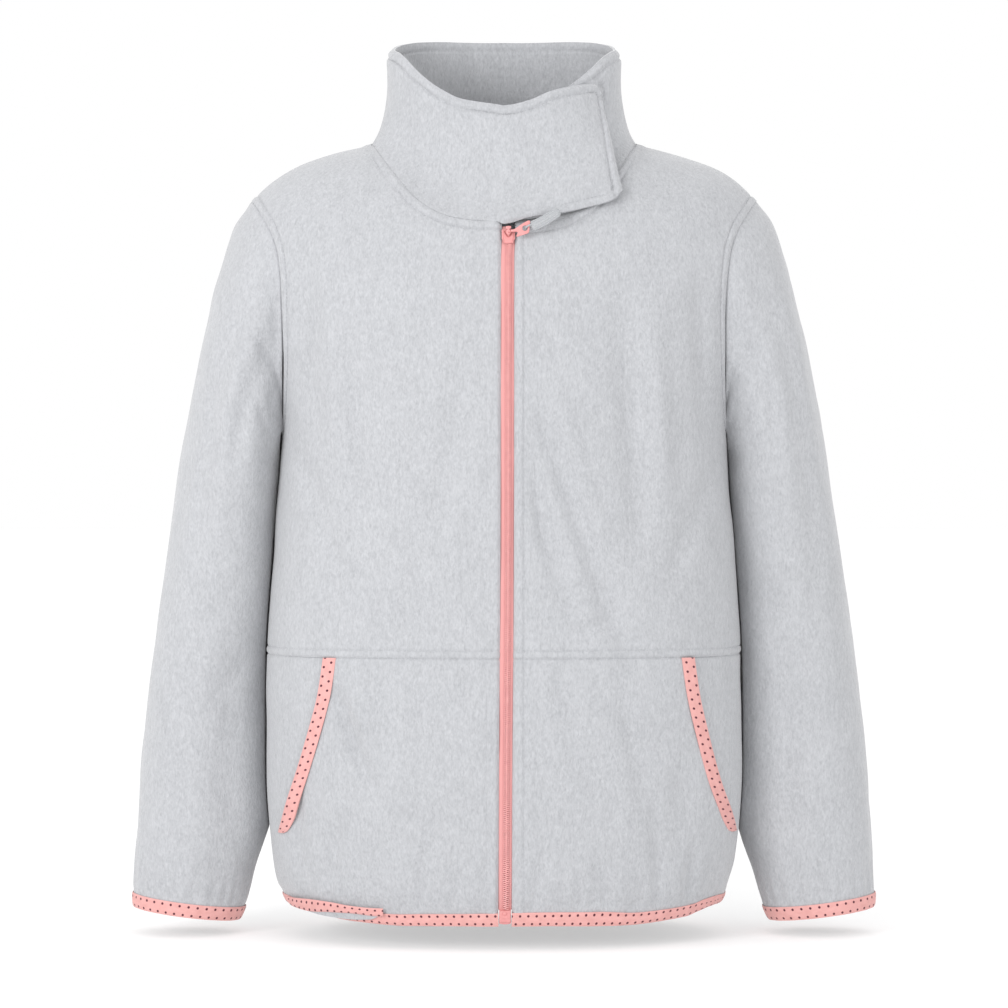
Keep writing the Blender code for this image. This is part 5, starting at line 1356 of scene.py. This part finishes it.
def rounded_outline(corners, count):
    """Evenly spaced points round a closed outline whose corners are softened."""
    flat = np.array(corners)
    for _ in range(2):
        onward = np.roll(flat, -1, axis=0)
        flat = np.stack((0.8 * flat + 0.2 * onward, 0.2 * flat + 0.8 * onward), 1).reshape(-1, 2)
    flat = np.concatenate((flat, flat[:1]))
    length = run_length(flat)
    at = np.linspace(0, length[-1], count, endpoint=False)
    return np.stack([np.interp(at, length, flat[:, axis]) for axis in (0, 1)], axis=1)


outline = rounded_outline(np.array(TAB) / 1000, 110)
around = np.arctan2(outline[:, 1] - TAB_HOLE[1], outline[:, 0] - TAB_HOLE[0])
rim = np.array(TAB_HOLE) + TAB_HOLE_RADIUS * np.stack((np.cos(around), np.sin(around)), axis=1)
shares = np.array((0.0, 0.04, 0.12, 0.25, 0.5, 0.75, 0.88, 0.96, 1.0))[:, None]
flat = mix(rim[None], outline[None], shares[..., None])
thick = 0.00025 + 0.00035 * edge_round(shares, 0.15) * np.ones((1, len(outline)))
HARD["pull_tab"] = cloth_piece("pull_tab", on_pull(flat[..., 0], thick, flat[..., 1]),
                               on_pull(flat[..., 0], -thick, flat[..., 1]), ring=True)
turn, up = np.meshgrid(np.arange(28) * 2 * math.pi / 28, np.linspace(0.0022, 0.0036, 5))
HARD["pull_eye"] = cloth_piece(
    "pull_eye", on_pull(0.0018 * np.cos(turn), 0.0018 * np.sin(turn), up),
    on_pull(0.0013 * np.cos(turn), 0.0013 * np.sin(turn), up), ring=True)
print("tab reaches", round(float(outline[:, 0].max()) * 1000, 1), "mm from its axis")

# %% Ribbed puller and its cord
STRAP = {
    "along":  (0.0, 0.25, 0.5, 0.75, 1.0),
    "across": (0.0178, 0.0232, 0.0290, 0.0345, 0.0402),
    "up":     (0.0060, 0.0084, 0.0113, 0.0149, 0.0188),
}
STRAP_HALF_WIDTH, STRAP_HALF_THICKNESS, RIBS = 0.0042, 0.0014, 5
part, turn = np.meshgrid(np.linspace(0.01, 0.99, 70), np.arange(60) * 2 * math.pi / 60,
                         indexing="ij")
middle = np.stack((along(STRAP, "across", part, "along"), along(STRAP, "up", part, "along")), -1)
run = np.gradient(middle[:, 0], axis=0)
run /= np.linalg.norm(run, axis=1, keepdims=True)
cap = np.clip(np.minimum(part / 0.10, (1 - part) / 0.13), 0, 1)
cap = np.sqrt(1 - (1 - cap) ** 2)
wide = np.sin(turn)
rib = 0.0007 * np.abs(np.cos(RIBS * math.pi * wide / 2)) * (np.cos(turn) > 0)
reach = STRAP_HALF_WIDTH * cap * np.sign(wide) * np.abs(wide) ** 0.8
ahead = np.sign(np.cos(turn)) * np.abs(np.cos(turn)) ** 0.5 * STRAP_HALF_THICKNESS + rib
rings = on_pull(middle[..., 0] - run[:, None, 1] * reach, ahead * cap,
                middle[..., 1] + run[:, None, 0] * reach)
tips = [on_pull(STRAP["across"][end], 0.0, STRAP["up"][end]) for end in (0, -1)]
PULLER = [skin("ribbed_puller", rings, *tips)]
route = np.array(((19.2, 1.0, 7.4), (17.6, 1.7, 7.6), (16.0, 1.9, 7.0), (14.4, 1.5, 6.0),
                  (13.6, 0.2, 5.3), (14.2, -1.2, 5.0), (16.0, -1.5, 4.9), (17.8, -1.1, 5.2),
                  (19.2, -0.3, 5.8))) / 1000
fine = np.linspace(0, len(route) - 1, 60)
route = np.stack([np.interp(fine, np.arange(len(route)), route[:, axis]) for axis in range(3)], 1)
for _ in range(6):
    route[1:-1] = (route[:-2] + route[1:-1] + route[2:]) / 3
PULLER.append(swept_tube("puller_cord", on_pull(*route.T), 0.0007, 10))
print("puller is", round(float(run_length(middle[:, 0])[-1]) * 1000, 1), "mm long")

# %% Box at the foot of the zip
BOX = {"top": -0.6125, "step": -0.6217, "foot": -0.6238, "half": 0.0046}
BOX_RING, BOX_RING_RADIUS = (0.0006, -0.6148), 0.0017
row, column = np.meshgrid(np.linspace(0, 1, 64), np.linspace(0, 1, 40), indexing="ij")
z = mix(BOX["foot"] + 0.0008 * (2 * column - 1) ** 2, BOX["top"], row)
x = zip_x(z) + BOX["half"] * (2 * column - 1)
raised = ease(BOX["step"] - 0.0003, BOX["step"] + 0.0003, z) * edge_round(column, 0.10)
height = 0.0001 + 0.0012 * raised + 0.0004 * edge_round(row, 0.06)
away = np.hypot(x - BOX_RING[0], z - BOX_RING[1])
height = height - 0.0005 * np.exp(-((away - BOX_RING_RADIUS) / 0.0003) ** 2)
teeth = np.exp(-((z + 0.6187) / 0.0004) ** 2) * np.maximum(np.sin(x * 5200), 0)
height = height - 0.0003 * teeth * (np.abs(2 * column - 1) < 0.8)
HARD["zip_foot_box"] = cloth_piece("zip_foot_box", body_point("front", x, z, height),
                                   body_point("front", x, z, -0.0020))
print("box is", round((BOX["top"] - BOX["foot"]) * 1000, 1), "mm high")

# %% [markdown]
# ## Topstitching
#
# At arm's length the thread is only a row of small dashes, but it tells the eye that the
# grooves are seams. Each stitch is a tiny spindle laid in its groove, and all the stitches
# of one thread are joined into a single mesh, because hundreds of objects would be slow.

# %% Stitches along seam lines
STITCH_LENGTH, STITCH_PITCH, THREAD = 0.0023, 0.0031, 0.00030


def stitch_row(points, facing):
    """Rows of stitch corners along a line of points, as arrays for one mesh."""
    length = run_length(points)
    count = max(1, int(length[-1] / STITCH_PITCH))
    start = (np.arange(count) + 0.2) * STITCH_PITCH

    def at(distance, array):
        return np.stack([np.interp(distance, length, array[:, axis]) for axis in range(3)], 1)

    shares = np.array((0.0, 0.2, 0.5, 0.8, 1.0))
    girth = np.array((0.35, 0.9, 1.0, 0.9, 0.35)) * THREAD
    sink = np.array((-0.0004, -0.0002, -0.00012, -0.0002, -0.0004))
    centre = np.stack([at(start + STITCH_LENGTH * share, points) for share in shares], axis=1)
    normal = np.stack([at(start + STITCH_LENGTH * share, facing) for share in shares], axis=1)
    normal /= np.linalg.norm(normal, axis=2, keepdims=True)
    centre = centre + normal * sink[None, :, None]
    forward = centre[:, -1] - centre[:, 0]
    forward /= np.linalg.norm(forward, axis=1, keepdims=True)
    beside = np.cross(normal, forward[:, None])
    turn = np.arange(5) * 2 * math.pi / 5
    ring = (np.cos(turn)[:, None] * beside[:, :, None] + np.sin(turn)[:, None]
            * normal[:, :, None]) * girth[None, :, None, None]
    return (centre[:, :, None] + ring).reshape(-1, 25, 3)


def sew(name, rows):
    """One mesh of all the stitches in a list of rows."""
    stitches = np.concatenate(rows)
    row, column = np.meshgrid(np.arange(4), np.arange(5), indexing="ij")
    onward = (column + 1) % 5
    quads = np.stack((row * 5 + column, row * 5 + onward, (row + 1) * 5 + onward,
                      (row + 1) * 5 + column), axis=-1).reshape(-1, 4)
    caps = np.array(((0, 4, 3, 3), (0, 3, 2, 1), (20, 21, 22, 23), (20, 23, 24, 24)))
    mesh = bpy.data.meshes.new(name)
    faces = [[int(i) for i in dict.fromkeys(face)] for face in np.concatenate((quads, caps))]
    every = [[index + 25 * number for index in face]
             for number in range(len(stitches)) for face in faces]
    mesh.from_pydata(stitches.reshape(-1, 3), [], every)
    mesh.shade_smooth()
    piece = bpy.data.objects.new(name, mesh)
    bpy.context.scene.collection.objects.link(piece)
    print(name, len(stitches), "stitches")
    return piece


# %% Rows of stitches on the body
def body_row(face, side, x, z):
    """A row of stitches on the body, in its groove."""
    x, z = np.broadcast_arrays(np.asarray(x, float), np.asarray(z, float))
    push = front_relief(side, x, z) if face == "front" else upper_relief(side, x, z, "back")
    return stitch_row(body_point(face, x, z, push + 0.0002), body_direction(face, x, z))


def beside_seam(face, side, name):
    """Flat line that runs a topstitching's distance inside a curved seam."""
    if name == "armhole":
        z = np.linspace(UNDERARM_Z + 0.004, -SHOULDER_DROP - 0.003, 160)
        flat = np.stack((side_reach(z), z), axis=1)
    else:
        x = np.linspace(0.016 if face == "front" else 0.0, NECK_HALF_WIDTH - 0.002, 160)
        flat = np.stack((x, neck_z(face, side, x)), axis=1)
    flat[:, 0] *= side
    tangent = np.gradient(body_point(face, flat[:, 0], flat[:, 1]), axis=0)
    facing = body_direction(face, flat[:, 0], flat[:, 1])
    inward = np.cross(tangent, facing)
    inward /= np.linalg.norm(inward, axis=1, keepdims=True)
    if name == "armhole":
        inward *= np.sign(-side * inward[:, :1])
    else:
        inward *= np.sign(-inward[:, 2:])
    moved = flat + TOPSTITCH * inward[:, (0, 2)]
    return moved[:, 0], moved[:, 1]


rows = []
for side in (-1, 1):
    z = np.linspace(-NECK_DROP[side] - 0.008, YOKE_Z + 0.001, 200)
    rows.append(body_row("front", side, side * PLACKET[side], z))
    z = np.linspace(YOKE_Z - 0.001, HEM_FRONT_Z + 0.001, 120)
    rows.append(body_row("front", side, side * PLACKET[side], z))
    x = side * np.linspace(PLACKET[side] + 0.001, 0.1925, 300)
    rows.append(body_row("front", side, x, YOKE_Z + YOKE_STITCH))
    for face in ("front", "back"):
        for seam in ("armhole", "neck"):
            rows.append(body_row(face, side, *beside_seam(face, side, seam)))

STITCHING = [sew("topstitching_body", rows)]

# %% Stitches round the collar
def collar_row(angle, up, out=0.0):
    angle, up = np.broadcast_arrays(np.asarray(angle, float), np.asarray(up, float))
    facing = collar_direction(angle, up)
    return stitch_row(collar_place(angle, up) + facing * out, facing)


sweep = np.concatenate((ring_angles[5:], over_angles, flap_angles[:-10]))
drop = {}
for value in sweep:
    line = collar_place(np.full(60, value), np.linspace(0.7, 1, 60))
    length = run_length(line)
    drop[value] = np.interp(length[-1] - COLLAR_STITCH, length, np.linspace(0.7, 1, 60))
tops = np.array([drop[value] for value in sweep])
on_end = last - COLLAR_STITCH / FLAP_LENGTH * FLAP_ARC
lower = np.array([value for value in sweep if value > FLAP_START + 5] + [on_end])
foot = []
for value in lower:
    line = collar_place(np.full(60, value), np.linspace(0, 0.3, 60))
    foot.append(np.interp(COLLAR_STITCH, run_length(line), np.linspace(0, 0.3, 60)))
rows = [collar_row(sweep, tops, -0.0007), collar_row(lower, np.array(foot), -0.0007),
        collar_row(np.full(80, on_end), np.linspace(foot[-1], tops[-1], 80), -0.0007)]
STITCHING.append(sew("topstitching_collar", rows))

# %% [markdown]
# ## Finishes
#
# Every finish is procedural. Fleece is brushed until its fibres stand up: under a lens it is
# a soft grey-white streaked mass with no weave. So its bump and its faint lightness come
# from noise that is drawn out along the grain, and a sheen lights the fibres at the edges.

# %% Helpers for finishes
def start_finish(name, colour, roughness, **settings):
    """New material with constants set on the shader's own sockets."""
    finish = bpy.data.materials.new(name)
    finish.use_nodes = True
    shader = finish.node_tree.nodes["Principled BSDF"]
    shader.inputs["Base Color"].default_value = (*colour, 1.0)
    shader.inputs["Roughness"].default_value = roughness
    for socket, value in settings.items():
        shader.inputs[socket.replace("_", " ")].default_value = value
    return finish, finish.node_tree, shader


def add(tree, kind, inputs=(), **settings):
    """Adds a node, sets its properties and links or fills its inputs."""
    made = tree.nodes.new(kind)
    for name, value in settings.items():
        setattr(made, name, value)
    for socket, value in dict(inputs).items():
        if isinstance(value, bpy.types.NodeSocket):
            tree.links.new(value, made.inputs[socket])
        else:
            made.inputs[socket].default_value = value
    return made


def stretched_noise(tree, coordinate, scale, detail=2.0):
    """Noise whose grains are as many per metre as scale says on each axis."""
    mapping = add(tree, "ShaderNodeMapping", {"Vector": coordinate, "Scale": scale})
    return add(tree, "ShaderNodeTexNoise", {"Vector": mapping.outputs["Vector"], "Scale": 1.0,
                                            "Detail": detail, "Roughness": 0.55}).outputs[0]


def toned(tree, value, dark, light, low=0.3, high=0.7):
    """Colour between two tones, by a value."""
    ramp = add(tree, "ShaderNodeValToRGB", {"Fac": value})
    ramp.color_ramp.elements[0].position, ramp.color_ramp.elements[0].color = low, (*dark, 1)
    ramp.color_ramp.elements[1].position, ramp.color_ramp.elements[1].color = high, (*light, 1)
    return ramp.outputs["Color"]


# %% Brushed fleece
def fleece_finish(name, dark, light):
    finish, tree, shader = start_finish(name, light, 0.95, Sheen_Weight=0.50,
                                        Sheen_Roughness=0.5, Specular_IOR_Level=0.2)
    place = add(tree, "ShaderNodeTexCoord").outputs["Object"]
    fibres = stretched_noise(tree, place, (900.0, 900.0, 380.0), 3.0)
    tufts = stretched_noise(tree, place, (400.0, 400.0, 190.0), 2.0)
    cloud = stretched_noise(tree, place, (60.0, 60.0, 24.0), 3.0)
    both = add(tree, "ShaderNodeMix", {"Factor": 0.45, "A": fibres, "B": tufts})
    shade = add(tree, "ShaderNodeMix", {"Factor": 0.13, "A": both.outputs[0], "B": cloud})
    colour = toned(tree, shade.outputs[0], dark, light, 0.34, 0.66)
    tree.links.new(colour, shader.inputs["Base Color"])
    bump = add(tree, "ShaderNodeBump", {"Height": both.outputs[0], "Strength": 0.7,
                                        "Distance": 0.0013})
    tree.links.new(bump.outputs["Normal"], shader.inputs["Normal"])
    return finish


FINISH = {"fleece": fleece_finish("brushed_fleece", (0.328, 0.334, 0.350), (0.452, 0.459, 0.479))}
print("fleece has", len(FINISH["fleece"].node_tree.nodes), "nodes")

# %% [markdown]
# ### Dotted cotton
#
# The print is two staggered rows of small dark dots. Rather than an image, the distance to
# the nearest dot centre is worked out from the UV in metres: the distance along is folded
# into one repeat, the distance across is taken from each row's line.

# %% Dotted bias tape
def dot_mask(tree, along_tape, across_tape, pitch, row, shift, radius):
    """1 inside the dots of one row, 0 outside."""
    turns = add(tree, "ShaderNodeMath", {0: along_tape, 1: 1.0 / pitch}, operation="MULTIPLY")
    moved = add(tree, "ShaderNodeMath", {0: turns.outputs[0], 1: shift}, operation="ADD")
    part = add(tree, "ShaderNodeMath", {0: moved.outputs[0]}, operation="FRACT")
    centred = add(tree, "ShaderNodeMath", {0: part.outputs[0], 1: 0.5}, operation="SUBTRACT")
    far = add(tree, "ShaderNodeMath", {0: centred.outputs[0], 1: pitch}, operation="MULTIPLY")
    off = add(tree, "ShaderNodeMath", {0: across_tape, 1: row}, operation="SUBTRACT")
    both = add(tree, "ShaderNodeCombineXYZ", {"X": far.outputs[0], "Y": off.outputs[0]})
    away = add(tree, "ShaderNodeVectorMath", {0: both.outputs[0]}, operation="LENGTH")
    return add(tree, "ShaderNodeMapRange", {
        "Value": away.outputs["Value"], "From Min": radius * 0.85, "From Max": radius * 1.15,
        "To Min": 1.0, "To Max": 0.0}, interpolation_type="SMOOTHSTEP").outputs["Result"]


def dotted_finish(name, pitch, rows, radius, dark, light):
    finish, tree, shader = start_finish(name, light, 0.80, Sheen_Weight=0.15,
                                        Sheen_Roughness=0.5, Specular_IOR_Level=0.3)
    grain = add(tree, "ShaderNodeUVMap", uv_map="grain").outputs["UV"]
    parts = add(tree, "ShaderNodeSeparateXYZ", {"Vector": grain}).outputs
    masks = [dot_mask(tree, parts["X"], parts["Y"], pitch, row, shift, radius)
             for row, shift in rows]
    dots = add(tree, "ShaderNodeMath", {0: masks[0], 1: masks[1]}, operation="MAXIMUM")
    cloud = stretched_noise(tree, grain, (120.0, 260.0, 1.0), 3.0)
    cotton = toned(tree, cloud, dark, light)
    colour = add(tree, "ShaderNodeMix", {"Factor": dots.outputs[0], "A": cotton,
                                         "B": (0.085, 0.016, 0.028, 1.0)}, data_type="RGBA")
    tree.links.new(colour.outputs["Result"], shader.inputs["Base Color"])
    weave = add(tree, "ShaderNodeTexChecker", {"Vector": grain, "Scale": 2600.0})
    bump = add(tree, "ShaderNodeBump", {"Height": weave.outputs["Fac"], "Strength": 0.25,
                                        "Distance": 0.0002})
    tree.links.new(bump.outputs["Normal"], shader.inputs["Normal"])
    return finish


PINK = ((0.603, 0.301, 0.282), (0.681, 0.356, 0.337))
DOT = 0.0010                 # radius
FINISH["binding"] = dotted_finish("dotted_cotton", 0.0065, ((0.0022, 0.0), (0.0085, 0.5)),
                                  DOT, *PINK)
FINISH["cuff"] = dotted_finish("dotted_cotton_cuff", 0.0073, ((0.0022, 0.0), (0.0089, 0.5)),
                               DOT, *PINK)
FINISH["lap"] = dotted_finish("dotted_cotton_lap", 0.0065, ((0.0013, 0.0), (0.0063, 0.5)),
                              DOT, *PINK)
FINISH["pocket"] = dotted_finish("dotted_cotton_pocket", 0.0075, ((0.0028, 0.0), (0.0083, 0.5)),
                                 DOT, *PINK)

# %% [markdown]
# ### Zip, thread and puller
#
# The tape is a fine twill, the coil is slightly glossy nylon, the slider is enamelled metal
# and the puller a matt grey rubber cord. They differ mostly in roughness and fine relief.

# %% Zip finishes, thread and puller
def twill_finish(name, dark, light):
    finish, tree, shader = start_finish(name, light, 0.70, Specular_IOR_Level=0.35)
    grain = add(tree, "ShaderNodeUVMap", uv_map="grain").outputs["UV"]
    wave = add(tree, "ShaderNodeTexWave", {"Vector": grain, "Scale": 420.0, "Distortion": 0.6},
               wave_type="BANDS", bands_direction="DIAGONAL")
    tree.links.new(toned(tree, wave.outputs["Fac"], dark, light), shader.inputs["Base Color"])
    bump = add(tree, "ShaderNodeBump", {"Height": wave.outputs["Fac"], "Strength": 0.4,
                                        "Distance": 0.0002})
    tree.links.new(bump.outputs["Normal"], shader.inputs["Normal"])
    return finish


def grained_finish(name, dark, light, roughness, scale, strength, **settings):
    """Plain material with a fine grain in its colour and relief."""
    finish, tree, shader = start_finish(name, light, roughness, **settings)
    place = add(tree, "ShaderNodeTexCoord").outputs["Object"]
    grain = stretched_noise(tree, place, scale, 3.0)
    tree.links.new(toned(tree, grain, dark, light), shader.inputs["Base Color"])
    bump = add(tree, "ShaderNodeBump", {"Height": grain, "Strength": strength,
                                        "Distance": 0.0002})
    tree.links.new(bump.outputs["Normal"], shader.inputs["Normal"])
    return finish


FINISH["tape"] = twill_finish("zip_twill", (0.595, 0.264, 0.260), (0.685, 0.325, 0.316))
FINISH["coil"] = grained_finish("nylon_coil", (0.68, 0.315, 0.31), (0.78, 0.39, 0.38), 0.38,
                                (300, 300, 300), 0.1, Coat_Weight=0.2)
FINISH["slider"] = grained_finish("enamelled_metal", (0.600, 0.235, 0.232), (0.655, 0.280, 0.272), 0.42,
                                  (500, 500, 500), 0.15, Coat_Weight=0.15)
FINISH["thread"] = grained_finish("grey_thread", (0.345, 0.352, 0.368), (0.415, 0.423, 0.439), 0.75,
                                  (2500, 2500, 900), 0.4)
FINISH["puller"] = grained_finish("grey_rubber_cord", (0.300, 0.312, 0.326), (0.390, 0.400, 0.414),
                                  0.62, (900, 900, 900), 0.5)

# %% [markdown]
# ## Put each piece on the frame
#
# A piece rides on the body it belongs to, hides the plain part it was cut from and gets its
# finish. The table also lists its slot and the size it is cut to before it is sewn. The sizes
# are those of the cloth that shows, laid flat.

# %% Which plain part each sheet stands for, and its size
SHEETS = {
    "upper_front_right": ("front_upper_right", "fleece", (0.262, 0.400), 0.0930),
    "upper_front_left": ("front_upper_left", "fleece", (0.262, 0.400), 0.0910),
    "lower_front_right": ("front_lower_right", "fleece", (0.262, 0.205), 0.0395),
    "lower_front_left": ("front_lower_left", "fleece", (0.262, 0.205), 0.0395),
    "pocket_side_piece_right": ("pocket_side_right", "fleece", (0.110, 0.147), 0.0125),
    "pocket_side_piece_left": ("pocket_side_left", "fleece", (0.110, 0.147), 0.0120),
    "back_panel": ("back", "fleece", (0.520, 0.640), 0.2900),
    "sleeve_right_cloth": ("sleeve_right", "fleece", (0.400, 0.600), 0.1590),
    "sleeve_left_cloth": ("sleeve_left", "fleece", (0.400, 0.600), 0.1590),
    "collar_cloth": ("collar", "fleece", (0.700, 0.120), None),
    "hem_tape": ("hem_binding", "binding", (1.000, 0.0113), None),
    "hem_tape_lap": ("hem_binding_lap", "binding", (0.085, 0.010), None),
    "cuff_tape_right": ("cuff_binding_right", "binding", (0.250, 0.0113), None),
    "cuff_tape_left": ("cuff_binding_left", "binding", (0.250, 0.0113), None),
    "pocket_tape_right": ("pocket_binding_right", "binding", (0.150, 0.0100), None),
    "pocket_tape_left": ("pocket_binding_left", "binding", (0.150, 0.0100), None),
    "zip_tape_right_weave": ("zip_tape_right", "zip", (0.543, 0.0130), None),
    "zip_tape_left_weave": ("zip_tape_left", "zip", (0.538, 0.0130), None),
}
print(len(SHEETS), "sheets of cloth")

# %% Cloth, coils and thread
FINISH_OF = {"pocket_tape": "pocket", "weave": "tape", "cuff_tape": "cuff", "tape_lap": "lap"}
for name, (node, slot, flat, area) in SHEETS.items():
    piece = CLOTH[name]
    finish = next((FINISH_OF[key] for key in FINISH_OF if key in name), slot)
    piece.data.materials.append(FINISH[finish])
    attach(piece, "jacket")
    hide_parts(node)
for coil in coils:
    coil.data.materials.append(FINISH["coil"])
    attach(coil, "jacket")
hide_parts("zip_coil")
for stitching in STITCHING:
    stitching.data.materials.append(FINISH["thread"])
    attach(stitching, "jacket")
PEEPING.data.materials.append(FINISH["fleece"])
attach(PEEPING, "jacket")

# %% Hard pieces and the puller
for name, body, node, slot in (
        ("slider_body", "jacket", "zip_slider", "zip"), ("slider_bridge", "jacket", None, "zip"),
        ("zip_foot_box", "jacket", "zip_box", "zip"), ("pull_tab", "zip_pull", "zip_pull_tab", "zip"),
        ("pull_eye", "zip_pull", None, "zip")):
    piece = HARD[name]
    piece.data.materials.append(FINISH["slider"])
    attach(piece, body)
    if node:
        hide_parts(node)
for piece in PULLER:
    piece.data.materials.append(FINISH["puller"])
    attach(piece, "zip_pull")
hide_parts("zip_puller")

# %% [markdown]
# ## Floor, light and camera
#
# The jacket hangs just above a pale floor, in the kind of even light a studio gets from
# large diffusers: a broad light from the front and left, a weaker one from the right, a
# faint one overhead, and a bright surround. A hard lamp would show the folds more, but
# brushed fleece is pale and soft to look at.

# %% Floor and surround
FLOOR_Z = -0.6445
floor_mesh = bpy.data.meshes.new("studio_floor")
sheet_size, steps = 40.0, 40
work = bmesh.new()
bmesh.ops.create_grid(work, x_segments=steps, y_segments=steps, size=sheet_size)
work.to_mesh(floor_mesh)
work.free()
floor = bpy.data.objects.new("studio_floor", floor_mesh)
floor.location = (0.0, 0.0, FLOOR_Z)
bpy.context.scene.collection.objects.link(floor)
FLOOR_GLOW = 0.46            # the floor glows faintly, like a table lit from below
FINISH["floor"] = grained_finish("white_paper", (0.53, 0.53, 0.53), (0.55, 0.55, 0.55), 0.95,
                                 (40, 40, 40), 0.02, Emission_Color=(1.0, 1.0, 1.0, 1.0),
                                 Emission_Strength=FLOOR_GLOW)
floor.data.materials.append(FINISH["floor"])
world = bpy.data.worlds.new("studio")
world.use_nodes = True
world.node_tree.nodes["Background"].inputs["Color"].default_value = (1.0, 1.0, 1.0, 1.0)
world.node_tree.nodes["Background"].inputs["Strength"].default_value = 1.0
bpy.context.scene.world = world
bpy.context.scene.view_settings.view_transform = "Standard"

# %% Lights and camera
def soft_light(name, place, target, size, power):
    lamp = bpy.data.lights.new(name, "AREA")
    lamp.shape, lamp.size, lamp.size_y, lamp.energy = "RECTANGLE", *size, power
    holder = bpy.data.objects.new(name, lamp)
    holder.location = place
    aim = Vector(target) - Vector(place)
    holder.rotation_euler = aim.to_track_quat("-Z", "Y").to_euler()
    bpy.context.scene.collection.objects.link(holder)


soft_light("front_left", (-1.7, -2.0, 0.35), (0.0, 0.0, -0.3), (1.0, 1.0), 35.0)
soft_light("front_right", (1.4, -2.3, -0.1), (0.0, 0.0, -0.3), (1.2, 1.2), 18.0)
soft_light("overhead", (-0.3, -0.3, 1.9), (0.0, 0.0, -0.3), (2.0, 2.0), 3.0)
eye = bpy.data.cameras.new("studio_camera")
eye.lens, eye.sensor_width = 108.9, 36.0
camera = bpy.data.objects.new("studio_camera", eye)
camera.location = (0.0, -2.5, -0.2936)
camera.rotation_euler = (math.pi / 2, 0.0, 0.0)
bpy.context.scene.collection.objects.link(camera)
bpy.context.scene.camera = camera
print("camera at", tuple(round(v, 3) for v in camera.location))
